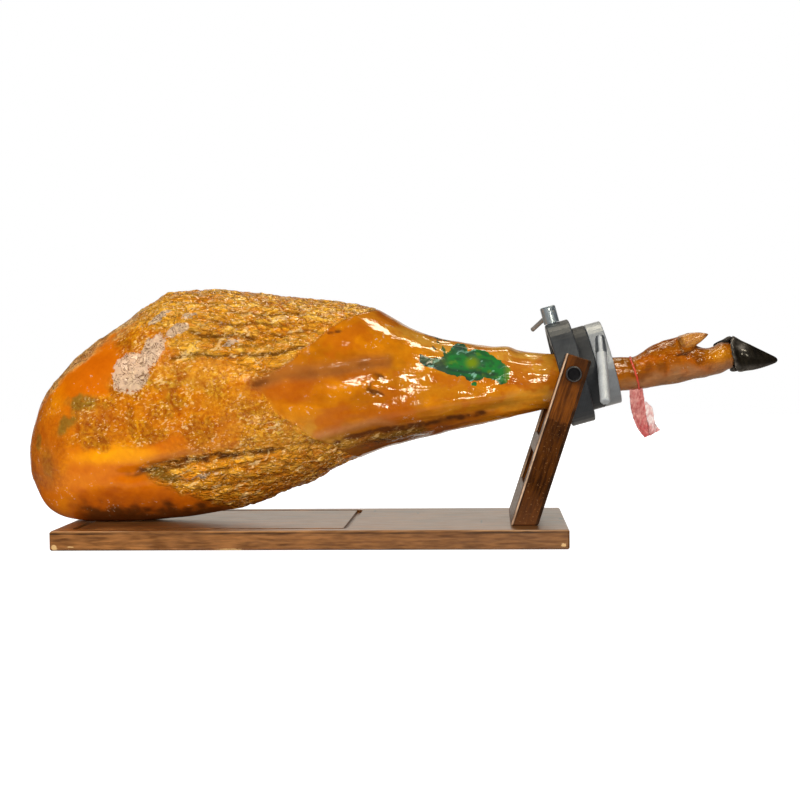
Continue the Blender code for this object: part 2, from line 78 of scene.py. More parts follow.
# The leg, station by station along X, as the solid has it.
LEG_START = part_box("ham_leg")[0].x
LEG_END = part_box("ham_leg")[1].x
BUTT_ROUND = 0.08
BUTT_POWER = 2.05
BUTT_HEIGHT = 0.085
TOP_LINE = metres(
    (-313, 192), (-276, 197), (-236, 219), (-183, 253), (-150, 268.5), (-117, 270), (-26, 260), (45, 252),
    (68, 244), (116, 220.5), (160, 209), (190, 205), (204, 205.8), (220, 200), (250, 195.5), (335, 191.5),
    (362, 204.5), (392, 213), (410, 203.5), (443, 209),
)
BOTTOM_LINE = metres(
    (-313, 18), (-200, 18.5), (-150, 22.5), (-80, 34.5), (-20, 56), (45, 87), (116, 108), (180, 122.5),
    (244, 137), (318, 153.5), (345, 157.5), (385, 164), (443, 177),
)
NEAR_LINE = metres(
    (-313, 58), (-230, 66), (-130, 70), (-40, 67), (50, 55), (120, 41), (200, 32), (270, 23.5), (340, 17.5),
    (390, 21.5), (443, 20.5),
)
FAR_SHARE = 0.88
SECTION_POWER = 2.25
SHANK_POWER = 2
LEG_RINGS = 425
LEG_SIDES = 230
SIDE_BIAS = 0.3
CROWN_EASE = 0.0012
LOOP_X = 0.34
LOOP_SLANT = 0.005
LOOP_SMOOTH = 6


# ---- small tools


def ease(low, high, value):
    t = np.clip((value - low) / (high - low), 0, 1)
    return t * t * (3 - 2 * t)


def bell(value, middle, width):
    return np.exp(-(((value - middle) / width) ** 2))


def rounded(value, power):
    """A sine or cosine of an ellipse, drawn out towards a box by a higher power."""
    return np.sign(value) * np.abs(value) ** (2 / power)


def most(*values):
    return reduce(np.maximum, values)


def smooth_line(points):
    """A curve through the points with no overshoot, as a function of X."""
    xs, ys = np.array(points, float).T
    slopes = np.diff(ys) / np.diff(xs)
    before, after = slopes[:-1], slopes[1:]
    same_way = before * after > 0
    inner = np.divide(2 * before * after, before + after, out=np.zeros(len(before)), where=same_way)
    tangents = np.concatenate([slopes[:1], inner, slopes[-1:]])

    def value(x):
        x = np.clip(x, xs[0], xs[-1])
        i = np.clip(np.searchsorted(xs, x, side="right") - 1, 0, len(xs) - 2)
        span = xs[i + 1] - xs[i]
        t = (x - xs[i]) / span
        rest = 1 - t
        ends = ys[i] * (1 + 2 * t) * rest**2 + ys[i + 1] * (3 - 2 * t) * t**2
        return ends + span * (tangents[i] * t * rest**2 - tangents[i + 1] * rest * t**2)

    return value


def noise_field(points, size, seed, octaves=1, stretch=1):
    """Noise from -1 to 1 at each point, with lumps of the given size in metres."""
    shift = Vector((seed * 7.31, seed * 3.17, seed * 5.03))
    scale = np.array((1 / (size * stretch), 1 / size, 1 / size))
    flat = (points.reshape(-1, 3) * scale).tolist()
    if octaves == 1:
        values = [noise.noise(Vector(point) + shift) for point in flat]
    else:
        values = [noise.fractal(Vector(point) + shift, 1, 2, octaves) for point in flat]
    return np.array(values).reshape(points.shape[:-1])


def new_object(name, mesh, look):
    thing = bpy.data.objects.new(name, mesh)
    bpy.context.scene.collection.objects.link(thing)
    mesh.materials.append(look)
    return thing


def skin_rows(name, rows, look, close_round=True, close_along=False):
    """A mesh over rows of points; a row of one point closes that end."""
    starts = np.cumsum([0] + [len(row) for row in rows])
    faces = []
    for r in range(len(rows) - (not close_along)):
        following = (r + 1) % len(rows)
        low, high = len(rows[r]), len(rows[following])
        count = max(low, high)
        for k in range(count if close_round else count - 1):
            after = (k + 1) % count
            corners = [starts[r] + k % low, starts[r] + after % low]
            corners += [starts[following] + after % high, starts[following] + k % high]
            faces.append(list(dict.fromkeys(corners)))
    for r in (0, len(rows) - 1):
        if close_round and not close_along and len(rows[r]) > 2:
            faces.append([starts[r] + k for k in range(len(rows[r]))])
    mesh = bpy.data.meshes.new(name)
    mesh.from_pydata([tuple(point) for row in rows for point in row], [], faces)
    shape = bmesh.new()
    shape.from_mesh(mesh)
    bmesh.ops.recalc_face_normals(shape, faces=shape.faces)
    shape.to_mesh(mesh)
    shape.free()
    mesh.shade_smooth()
    return new_object(name, mesh, look)


def add_layer(thing, name, values):
    """Keep one number or one colour for each point of a mesh."""
    values = np.asarray(values, np.float32)
    kind, field = ("FLOAT", "value") if values.ndim == 1 else ("FLOAT_COLOR", "color")
    if values.ndim == 2:
        values = np.pad(values, ((0, 0), (0, 1)), constant_values=1)
    thing.data.attributes.new(name, kind, "POINT").data.foreach_set(field, values.ravel())


class Look:
    """A material or a world whose nodes are added and linked in short calls."""

    def __init__(self, name, shader="Principled BSDF", kind="materials", **settings):
        self.material = getattr(bpy.data, kind).new(name)
        self.material.use_nodes = True
        self.tree = self.material.node_tree
        self.shader = self.tree.nodes[shader]
        for socket, value in settings.items():
            self.set(socket.replace("_", " "), value)

    def set(self, socket, value):
        """A constant, or another node's output, into the shader."""
        self.feed(self.shader.inputs[socket], value)

    def feed(self, socket, value):
        if isinstance(value, bpy.types.NodeSocket):
            self.tree.links.new(value, socket)
        elif isinstance(value, tuple) and len(value) == 3 and socket.type == "RGBA":
            socket.default_value = (*value, 1)
        else:
            socket.default_value = value

    def node(self, kind, inputs, **settings):
        made = self.tree.nodes.new("ShaderNode" + kind)
        for key, value in settings.items():
            setattr(made, key, value)
        for key, value in inputs.items():
            self.feed(made.inputs[key], value)
        return made

    def math(self, operation, first, second=0):
        return self.node("Math", {0: first, 1: second}, operation=operation).outputs[0]

    def product(self, *values):
        return reduce(lambda first, second: self.math("MULTIPLY", first, second), values)

    def total(self, *values):
        return reduce(lambda first, second: self.math("ADD", first, second), values)

    def apart(self, value, middle):
        return self.math("ABSOLUTE", self.math("SUBTRACT", value, middle))

    def remap(self, value, low, high, to_low=0, to_high=1, kind="LINEAR"):
        inputs = {"Value": value, "From Min": low, "From Max": high, "To Min": to_low, "To Max": to_high}
        return self.node("MapRange", inputs, interpolation_type=kind).outputs[0]

    def sway(self, value, reach):
        return self.remap(value, 0.3, 0.7, -reach, reach)

    def mix(self, share, first, second):
        return self.node("Mix", {0: share, 6: first, 7: second}, data_type="RGBA").outputs[2]

    def vector(self, operation, first, second):
        return self.node("VectorMath", {0: first, 1: second}, operation=operation).outputs[0]

    def scale(self, colour, factor):
        return self.node("VectorMath", {0: colour, "Scale": factor}, operation="SCALE").outputs[0]

    def reach(self, place, centre, weights):
        """Distance from a centre, with a weight for each axis."""
        moved = self.vector("MULTIPLY", self.vector("SUBTRACT", place, centre), weights)
        return self.node("VectorMath", {0: moved}, operation="LENGTH").outputs["Value"]

    def strip(self, coordinate, middle, half):
        """1 within a narrow band of one coordinate, with a soft edge."""
        return self.remap(self.apart(coordinate, middle), half, half + 0.0005, 1, 0)

    def spot(self, place, centre, half):
        """1 inside an oval, with a soft ragged edge."""
        ragged = self.sway(self.noise(place, 500), 0.3)
        reach = self.reach(place, centre, tuple(1 / part for part in half))
        return self.remap(self.total(reach, ragged), 0.8, 1.15, 1, 0)

    def layer(self, name, output="Fac"):
        return self.node("Attribute", {}, attribute_name=name).outputs[output]

    def place(self, scale=(1, 1, 1), turn=(0, 0, 0)):
        """The object's own coordinates, turned and then scaled."""
        coords = self.node("TexCoord", {}).outputs["Object"]
        turned = self.node("Mapping", {"Vector": coords, "Rotation": turn}).outputs[0]
        return self.node("Mapping", {"Vector": turned, "Scale": scale}).outputs[0]

    def axes(self, place):
        return self.node("SeparateXYZ", {0: place}).outputs

    def noise(self, place, scale, detail=2, rough=0.5, distortion=0, output="Fac"):
        inputs = {"Vector": place, "Scale": scale, "Detail": detail, "Roughness": rough}
        return self.node("TexNoise", {**inputs, "Distortion": distortion}).outputs[output]

    def cells(self, place, scale):
        inputs = {"Vector": place, "Scale": scale}
        return self.node("TexVoronoi", inputs, feature="DISTANCE_TO_EDGE").outputs["Distance"]

    def bump(self, height, distance, strength=1):
        inputs = {"Height": height, "Distance": distance, "Strength": strength}
        return self.node("Bump", inputs).outputs[0]

    def finish(self, colour, grain, rough, height, depth, strength=0.5):
        """Colour, a roughness that follows the grain, and bump; gives the material."""
        self.set("Base Color", colour)
        self.set("Roughness", self.remap(grain, 0.3, 0.7, *rough))
        self.set("Normal", self.bump(height, depth, strength))
        return self.material


# ---- the leg's form

# Folds: the line each follows in X and Z, its half width and its depth.
# A negative depth makes a ridge.
LOWER_FOLD = (metres((-190, 74), (-120, 88), (-40, 99)), 0.007, 0.0045)
TENDON_RIDGE = (metres((-70, 168), (0, 184), (75, 192)), 0.009, -0.0028)
UNDER_FOLD = (metres((5, 103), (100, 128), (215, 143)), 0.006, 0.0045)
UPPER_FOLD = (metres((-160, 222), (-90, 214), (10, 232)), 0.008, 0.003)
FOLDS = (LOWER_FOLD, TENDON_RIDGE, UNDER_FOLD, UPPER_FOLD)
FOLD_FADE = 0.03
# The cut skin's lower lip, and the dark crease under it.
LIP_LINE = metres((9, 113.4), (26, 117.8), (45, 122.3), (68, 127.9), (80, 126.8))
CREASE_LINE = metres((26, 107), (45, 112.8), (68, 118.4), (103, 121.8), (134, 128.3), (176, 134.8))
# The puckered strip under the lip.
UNDER_LIP = metres((26, 103), (70, 112), (110, 117))

# Where the rind is cut back: the skin's edge as X for each height Z.
CUT_LINE = metres(
    (60, 85), (88, 45), (103, 20), (113, 0), (128, -20), (141, -38), (152, -43), (168, -58), (178, -40),
    (193, -20), (205, -8), (212, 4), (220, 13), (228, 23), (234, 34), (241, 55), (252, 100),
)
CUT_STEP = 0.0016
# The lower edge of the wrinkled crust along the top, and both edges of the crust below.
TOP_CRUST = metres(
    (-313, 128), (-280, 160), (-258, 180), (-238, 200), (-212, 220), (-190, 228), (-165, 224), (-150, 206),
    (-138, 192), (-80, 184), (-50, 176), (60, 176),
)
LOW_CRUST_TOP = metres((-180, 79), (-160, 86), (-120, 96), (-60, 104), (40, 104))
LOW_CRUST_FOOT = metres((-180, 78), (-165, 65), (-150, 58), (-120, 46), (-80, 30))
# Wrinkles in the crust: depth and half width in millimetres, then X and Z along each.
WRINKLES = (
    (2.6, 1.7, ((-142, 196), (-120, 200), (-98, 198), (-70, 199), (-40, 198), (-20, 204), (4, 209))),
    (2, 2.6, ((-124, 224), (-104, 217), (-84, 219), (-60, 216))),
    (1.8, 1.5, ((-82, 247), (-50, 241), (-20, 243), (12, 239))),
    (1.4, 1.3, ((-62, 184), (-46, 181), (-28, 186))),
    (1.6, 1.6, ((-100, 234), (-80, 230), (-58, 233), (-30, 229))),
    (1.5, 1.4, ((-50, 222), (-28, 219), (-8, 224), (14, 221))),
    (1.3, 1.3, ((-90, 209), (-70, 208), (-45, 211), (-25, 214))),
    (1.6, 1.5, ((-168, 84), (-140, 87), (-116, 91), (-96, 96))),
    (2, 1.7, ((-179, 79), (-160, 78), (-136, 82))),
    (1.8, 1.7, ((-132, 65), (-112, 73), (-88, 80))),
    (1.7, 1.5, ((-88, 93), (-60, 97), (-30, 99))),
    (1.6, 1.6, ((-122, 56), (-90, 61), (-58, 67), (-30, 72))),
    (1.3, 1.3, ((-162, 70), (-150, 66), (-140, 69))),
    (1.4, 1.4, ((-80, 84), (-50, 86), (-20, 83))),
)
DEEPEST = max(wrinkle[0] for wrinkle in WRINKLES)


def along_line(points, x, z, width, fade=FOLD_FADE):
    """How near a point is to a line: 1 on it, falling off over its half width."""
    first, last = points[0][0], points[-1][0]
    ends = ease(first - fade, first, x) * (1 - ease(last, last + fade, x))
    return ends * bell(z, smooth_line(points)(x), width)


def blob(x, z, oval, turn=0, edge=0.5):
    """A patch, 1 inside and soft at its edge; its centre and half sizes are in millimetres."""
    centre_x, centre_z, long, high = (part / 1000 for part in oval)
    angle = math.radians(turn)
    across = (x - centre_x) * math.cos(angle) + (z - centre_z) * math.sin(angle)
    upward = -(x - centre_x) * math.sin(angle) + (z - centre_z) * math.cos(angle)
    return 1 - ease(1 - edge, 1 + edge, np.hypot(across / long, upward / high))


def patches(table, x, z):
    """The strongest of several oval patches."""
    return most(*(strength * blob(x, z, oval, turn, 0.35) for *oval, turn, strength in table))


def leg_stations():
    """Rings close together at the round butt, then evenly spaced to the foot."""
    share = 0.14
    scale = (LEG_END - LEG_START) / (2 * share - share * share)
    u = np.arange(1, LEG_RINGS + 1) / LEG_RINGS
    step = np.where(u < share, u * u, 2 * share * u - share * share)
    return LEG_START + scale * step


def leg_base():
    """The solid's own surface as a grid of points, rings by sides."""
    x = leg_stations()
    t = np.clip((x - LEG_START) / BUTT_ROUND, 0, 1)
    swell = (1 - (1 - t) ** BUTT_POWER) ** (1 / BUTT_POWER)
    top = BUTT_HEIGHT + (smooth_line(TOP_LINE)(x) - BUTT_HEIGHT) * swell
    bottom = BUTT_HEIGHT + (smooth_line(BOTTOM_LINE)(x) - BUTT_HEIGHT) * swell
    near = smooth_line(NEAR_LINE)(x) * swell
    slender = ease(0.05, 0.22, x)
    power = (SECTION_POWER + (SHANK_POWER - SECTION_POWER) * slender)[:, None]
    share = (FAR_SHARE + (1 - FAR_SHARE) * slender)[:, None]
    turn = 2 * math.pi * np.arange(LEG_SIDES) / LEG_SIDES
    angle = (turn + SIDE_BIAS * np.sin(turn))[None, :]
    side, upward = rounded(np.cos(angle), power), rounded(np.sin(angle), power)
    y = near[:, None] * side * np.where(side > 0, share, 1)
    z = ((top + bottom) / 2)[:, None] + ((top - bottom) / 2)[:, None] * upward
    x = np.broadcast_to(x[:, None], y.shape)
    draw = sum(depth * along_line(line, x, z, width) for line, width, depth in FOLDS)
    y = y - np.sign(side) * draw * side * side * swell[:, None]
    return np.stack([x, y, z], axis=-1), side, upward, swell[:, None]


def grid_normals(grid):
    """Outward unit normals of a grid of rings."""
    along = np.gradient(grid, axis=0)
    around = (np.roll(grid, -1, axis=1) - np.roll(grid, 1, axis=1)) / 2
    normals = np.cross(around, along)
    return normals / np.maximum(np.linalg.norm(normals, axis=-1, keepdims=True), 1e-9)


def leg_zones(grid, side, upward):
    """Where each kind of surface lies, from 0 to 1, with wandering edges."""
    drift = noise_field(grid, 0.03, 1, 3)
    wander = noise_field(grid, 0.011, 2, 3)
    # On the far side the same zones lie a little elsewhere.
    away = ease(-0.1, 0.3, side)
    x = grid[..., 0] + away * (0.012 * noise_field(grid, 0.09, 3) - 0.008)
    z = grid[..., 2] + away * 0.01 * noise_field(grid, 0.08, 4)
    fine = noise_field(grid, 0.005, 13, 2)
    near = ease(0.05, -0.3, side)
    cut = x - smooth_line(CUT_LINE)(z) + 0.0022 * drift + 0.0012 * wander
    skin = ease(-0.0014, 0.0014, cut)
    bare = 1 - skin
    above = z - smooth_line(TOP_CRUST)(x) + 0.007 * drift + 0.005 * wander
    top = ease(-0.005, 0.01, above) * bare
    rim = top * ease(-0.175, -0.205, x + 0.012 * drift)
    low = ease(-0.002, 0.005, smooth_line(LOW_CRUST_TOP)(x) - z + 0.002 * wander)
    low = low * ease(-0.003, 0.006, z - smooth_line(LOW_CRUST_FOOT)(x) + 0.004 * wander)
    low = low * bare * ease(-0.181, -0.17, x)
    crust = most(top, low)
    corner = ease(-0.115, -0.05, x + 0.02 * drift) * ease(0.16, 0.125, z + 0.015 * drift)
    corner = corner * bare * (1 - low)
    flame = ease(-0.2, -0.215, x + 0.006 * drift + 0.003 * wander) * ease(0.15, 0.162, z)
    glow = ease(0.108, 0.098, z + 0.004 * wander - 0.16 * np.maximum(x + 0.2, 0))
    glow = glow * ease(-0.1, -0.16, x + 0.01 * drift) * ease(-0.268, -0.252, x + 0.004 * wander)
    deep = ease(0.066, 0.05, z + 0.004 * wander)
    sleek = most(flame, glow, deep) * bare * (1 - low) * (1 - top)
    rest = bare * (1 - top) * (1 - low) * (1 - sleek)
    patchy = 0.45 + 0.55 * ease(-0.35, 0.25, drift + 0.4 * wander)
    grain = rest * patchy * (1 - 0.75 * ease(-0.215, -0.262, x + 0.01 * drift))
    glaze_and_sheen = patches(GLAZE_AND_SHEEN_PATCHES, x + 0.004 * wander, z + 0.004 * drift) * near
    mould = patches(MOULD_PATCHES, x + 0.003 * wander, z + 0.005 * drift)
    mould = mould * ease(-0.8, -0.1, wander + 0.35 * drift)
    band = along_line(BAND_LINE, x, z + 0.002 * drift, 0.0072, 0.012)
    ragged = 0.5 + 0.9 * np.clip(noise_field(grid, 0.005, 5, 3, 1.6) + 0.4, 0, 1)
    spots = patches(SPOT_PATCHES, x + 0.004 * wander, z + 0.003 * wander) * ragged
    lip = along_line(UNDER_LIP, x, z, 0.006, 0.02) * skin
    foot = ease(0.3, 0.34, x)
    fur = top * ease(-0.1, -0.06, x + 0.02 * drift) * ease(0.21, 0.228, z + 0.006 * drift)
    ink = ink_mask(x, z, wander, fine, near)
    dull = most(
        0.5 * grain, 0.08 * crust, 0.5 * corner, 0.85 * most(flame, deep) * bare,
        band, 0.45 * foot, 0.9 * np.clip(spots, 0, 1), 0.93 * ink,
        along_line(CREASE_LINE, x, z, 0.005, 0.01),
    )
    wet = np.maximum(1 - dull, glaze_and_sheen)
    # Faces turned down, where the colours paint shade.
    under = ease(-0.4, -0.78, upward + 0.12 * drift)
    return SimpleNamespace(
        x=x, z=z, drift=drift, wander=wander, near=near, cut=cut, skin=skin, top=top, rim=rim, low=low,
        crust=crust, corner=corner, sleek=sleek, grain=grain, glaze_and_sheen=glaze_and_sheen, mould=mould, band=band,
        spots=spots, lip=lip, foot=foot, fur=fur, ink=ink, wet=wet, under=under,
    )


# A dark band across the muscle, and patches in millimetres: X, Z, half sizes, turn in
# degrees and strength.
BAND_LINE = metres((-58, 169), (-20, 180), (20, 181), (60, 189), (78, 189))
# Pale cracked film patches, partly a painted reflection of the lamps.
GLAZE_AND_SHEEN_PATCHES = (
    (-186, 181, 23, 18, 40, 1), (-166, 204, 19, 11, 60, 1), (-140, 222, 14, 5, 25, 1),
    (-160, 239, 14, 3, 30, 0.85), (-128, 240, 10, 4, 20, 0.75), (-84, 213, 8, 2.5, 15, 0.75),
    (-98, 231, 9, 6, 20, 0.5), (-112, 72, 22, 3, 8, 0.45),
)
MOULD_PATCHES = (
    (-241, 151, 17, 7.5, 8, 1), (-223, 145, 10, 6, 0, 0.55), (-257, 129, 15, 7, 45, 1),
    (-294, 108, 4, 8, 0, 0.8), (-155, 72, 16, 7, -20, 0.9), (-283, 84, 7, 17, 0, 0.35),
)
SPOT_PATCHES = (
    (72, 173, 7, 3.4, -25, 0.9), (69, 158, 8, 2.4, -22, 1), (25, 222, 7, 2.2, 8, 0.8),
    (60, 163, 3, 5, -30, 0.5), (382, 176, 9, 3, 15, 0.55), (389, 206, 5, 2, -40, 0.8),
    (-52, 169, 9, 2.5, 10, 0.35),
)


def leg_relief(grid, zones):
    """How far each point stands out from the solid's surface, in metres."""
    x, z, skin = zones.x, zones.z, zones.skin
    zones.fibres = noise_field(grid, 0.008, 11, 3, 2.6)
    zones.crumple = noise_field(grid, 0.0068, 12, 3, 1.5)
    zones.pebbles = noise_field(grid, 0.0044, 13, 2, 1.4)
    lumps = noise_field(grid, 0.045, 14, 2, 1.5)
    zones.dents = noise_field(grid, 0.02, 15, 2)
    zones.wrinkles = noise_field(grid, 0.0055, 16, 3, 4)
    zones.tendons = noise_field(grid, 0.012, 17, 2, 6)
    zones.knobs = noise_field(grid, 0.016, 18, 2)
    zones.crease = 1 - np.minimum(np.abs(zones.fibres) * 3, 1)
    zones.pucker = 1 - np.minimum(np.abs(zones.crumple) * 3, 1)
    crumple, pebbles, hollow = zones.crumple, zones.pebbles, zones.pucker**2
    relief = 0.0015 * lumps * (1 - 0.6 * zones.foot)
    relief += 0.0008 * zones.dents * (1 - 0.75 * zones.sleek) * (1 - 0.5 * skin)
    rough = zones.crust * (1 - 0.6 * zones.rim)
    relief += rough * (0.0012 * zones.fibres - 0.0014 * zones.crease**2 + 0.0009 * pebbles)
    relief += zones.corner * (0.0007 * crumple - 0.001 * hollow + 0.0006 * pebbles)
    relief += zones.grain * (0.0007 * crumple + 0.0008 * pebbles - 0.0007 * hollow)
    for *oval, turn, rise in FORM:
        relief += rise / 1000 * blob(grid[..., 0], grid[..., 2], oval, turn, 0.8)
    waver = z + 0.0016 * zones.wander + 0.0012 * zones.dents
    lines = [
        depth / DEEPEST * along_line(metres(*points), x, waver, width / 1000, 0.008)
        for depth, width, points in WRINKLES
    ]
    zones.lines = most(*lines) * (1 - skin)
    relief -= DEEPEST / 1000 * zones.lines
    relief += 0.0008 * zones.glaze_and_sheen * (1 - hollow)
    relief += CUT_STEP * skin * np.exp(-np.maximum(zones.cut, 0) / 0.02)
    relief += skin * 0.0003 * zones.wrinkles
    relief += ease(0.06, 0.16, x) * (1 - zones.foot) * 0.0006 * zones.tendons
    relief += zones.foot * (0.0009 * zones.knobs + 0.0002 * pebbles)
    zones.claw_fold = along_line(CLAW_FOLD, grid[..., 0], grid[..., 2], 0.0013, 0.004) * zones.near
    relief += 0.0012 * zones.band - 0.0016 * zones.claw_fold - 0.0009 * zones.spots
    return relief + zones.lip * (0.0014 * crumple + 0.0012)


# Small swells and hollows of the form, in millimetres: X, Z, half sizes, turn, height.
FORM = (
    (-292, 30, 26, 22, 0, 5), (-215, 232, 46, 22, 38, -2.6), (-120, 262, 40, 14, 0, -1.2),
    (90, 128, 60, 16, 14, 1.2), (-20, 240, 60, 16, -6, -1), (125, 140, 75, 12, 10, 3.6),
    (100, 182, 60, 12, 0, -1.6), (-186, 184, 28, 24, 30, 1.2), (417, 207, 9, 8, 0, -3.6),
)
CLAW_FOLD = metres((384, 193.5), (391, 194.5), (399, 198.5), (406, 203))


# The ink smear: its upper and lower edges, the dark seam through it and small marks beside it.
INK_TOP = metres(
    (112, 198.5), (120, 195.8), (133.5, 193.5), (140, 196.5), (147, 203), (152, 208.5), (160, 207),
    (164, 199), (170, 201.2), (177.5, 200.5), (191.5, 193.5), (201.5, 186.5), (208, 182),
)
INK_FOOT = metres(
    (112, 189), (126, 182.5), (142.5, 176.2), (150, 174), (159.5, 172.8), (164, 169), (172, 168),
    (182, 170.8), (191.5, 167.7), (199.5, 164.2), (205.5, 167.6), (208, 172),
)
INK_SEAM = metres((124, 186), (142, 181.5), (165, 178), (190, 174.5))
INK_MARKS = (
    (138, 200, 1.6, 6, 12, 1), (131.5, 210, 1.4, 2.6, 0, 0.9), (128, 204, 3.5, 1, -50, 0.8),
    (131, 215, 15, 0.9, -15, 0.9), (170, 165.5, 2.5, 2, 0, 0.9), (196, 165.5, 3, 1.2, -20, 0.8),
)


def ink_mask(x, z, wander, fine, near):
    """A smear of green ink on the near side of the shank, with a few thin strokes."""
    x = x + 0.0016 * wander + 0.0008 * fine
    z = z + 0.0012 * wander - 0.001 * fine
    body = ease(-0.001, 0.0012, smooth_line(INK_TOP)(x) - z)
    body = body * ease(-0.001, 0.0012, z - smooth_line(INK_FOOT)(x))
    body = body * ease(0.1125, 0.114, x) * (1 - ease(0.206, 0.2085, x))
    thin = 1 - 0.25 * blob(x, z, (126, 190, 10, 4), -20, 0.6)
    return most(body * thin, patches(INK_MARKS, x, z)) * near


# Linear colours of the leg.
ORANGE = (0.63, 0.148, 0.001)
FLAME = (0.53, 0.112, 0.002)
AMBER = (0.76, 0.24, 0.001)
TAN = (0.62, 0.24, 0.012)
STRAW = (0.88, 0.46, 0.06)
GOLD = (1, 0.4, 0.018)
CRUST = (0.73, 0.335, 0.024)
SKIN = (0.405, 0.118, 0.002)
BARK = (0.13, 0.04, 0.004)
SADDLE = (0.43, 0.095, 0.003)
HONEY = (0.53, 0.19, 0.006)
RUSSET = (0.38, 0.08, 0.006)
MAUVE = (0.33, 0.108, 0.02)
OLIVE = (0.23, 0.128, 0.014)
UMBER = (0.085, 0.026, 0.006)
GREEN = (0.003, 0.15, 0.028)
TEAL = (0.02, 0.07, 0.048)
LIME = (0.15, 0.23, 0.006)
MOSS = (0.07, 0.095, 0.03)
NIGHT = (0.006, 0.03, 0.026)
ROSE = (0.31, 0.15, 0.062)
SAND = (0.58, 0.29, 0.035)
DUSK = (0.52, 0.2, 0.055)
TAWNY = (0.275, 0.07, 0.002)
ASH = (0.54, 0.31, 0.13)
LILAC = (0.68, 0.5, 0.345)
CREAM = (0.96, 0.64, 0.26)
GLOW = (0.88, 0.335, 0.001)
HAZEL = (0.43, 0.18, 0.008)

# Large soft patches of colour, in order: colour, strength, X, Z, half sizes in
# millimetres and turn in degrees. The dark RUSSET and UMBER patches, low on the leg
# and below the crease under the lip, are painted shade.
TINTS = (
    (FLAME, 0.9, -232, 182, 34, 24, 45), (ORANGE, 0.8, -280, 138, 12, 22, 10),
    (SADDLE, 0.4, -275, 66, 14, 26, -10), (AMBER, 0.7, -272, 150, 14, 8, 60),
    (AMBER, 1, -208, 94, 50, 10, 3), (GLOW, 1, -203, 95, 34, 8, 4), (AMBER, 0.9, -222, 67, 40, 8, 0),
    (MAUVE, 0.55, -226, 132, 22, 11, -15), (OLIVE, 0.4, -112, 170, 22, 10, 0),
    (ORANGE, 0.9, -200, 68, 60, 8, 0), (SADDLE, 0.6, -215, 128, 30, 8, 0),
    (SADDLE, 0.55, -268, 112, 9, 16, 20), (MAUVE, 0.55, -284, 84, 12, 20, 0),
    (RUSSET, 0.45, -200, 50, 60, 9, 0), (AMBER, 0.6, -262, 42, 14, 9, 30),
    (SADDLE, 0.55, -298, 100, 24, 50, 0), (SADDLE, 0.3, -150, 182, 18, 22, 20),
    (FLAME, 0.2, -120, 128, 40, 22, 10), (AMBER, 0.5, -90, 188, 45, 9, 5), (MAUVE, 0.8, -122, 95, 44, 6, 9),
    (TAN, 0.7, -92, 150, 26, 14, 0), (SAND, 0.55, -135, 178, 56, 13, 4), (GOLD, 0.5, -80, 176, 40, 8, 0),
    (SAND, 0.7, -20, 112, 50, 18, -8), (OLIVE, 0.5, -152, 71, 22, 10, -15),
    (RUSSET, 0.6, -40, 56, 60, 8, 22), (AMBER, 0.35, 8, 140, 34, 11, 0), (AMBER, 0.6, 32, 164, 26, 7, 6),
    (SADDLE, 0.6, 20, 172, 50, 5, 6), (FLAME, 0.5, -25, 160, 26, 14, 0), (SADDLE, 0.5, 70, 138, 34, 8, 8),
    (AMBER, 0.5, 40, 215, 34, 12, -12), (TAN, 0.6, 70, 232, 34, 8, -25),
    (HONEY, 0.7, 120, 176, 40, 26, -10), (SAND, 0.8, 130, 207, 44, 8, -20),
    (SAND, 0.8, 200, 203, 40, 6, -8), (SAND, 0.6, 224, 194, 26, 8, -6), (SADDLE, 0.35, 205, 166, 44, 5, -4),
    (AMBER, 0.5, 215, 158, 26, 6, 0), (RUSSET, 0.8, 135, 122, 50, 7, 14), (UMBER, 0.6, 95, 110, 46, 8, 14),
    (SAND, 0.6, 222, 150, 36, 10, 16), (SAND, 0.6, 218, 190, 36, 13, -10), (AMBER, 0.4, 330, 178, 16, 9, 0),
    (SADDLE, 0.6, 372, 186, 26, 9, 10), (AMBER, 0.5, 428, 195, 12, 9, 10),
)


def paint(base, *layers):
    """Lay colours over a base in turn, each by its share at every point."""
    for colour, share in layers:
        share = np.clip(share, 0, 1)[..., None]
        base = base * (1 - share) + np.array(colour) * share
    return base


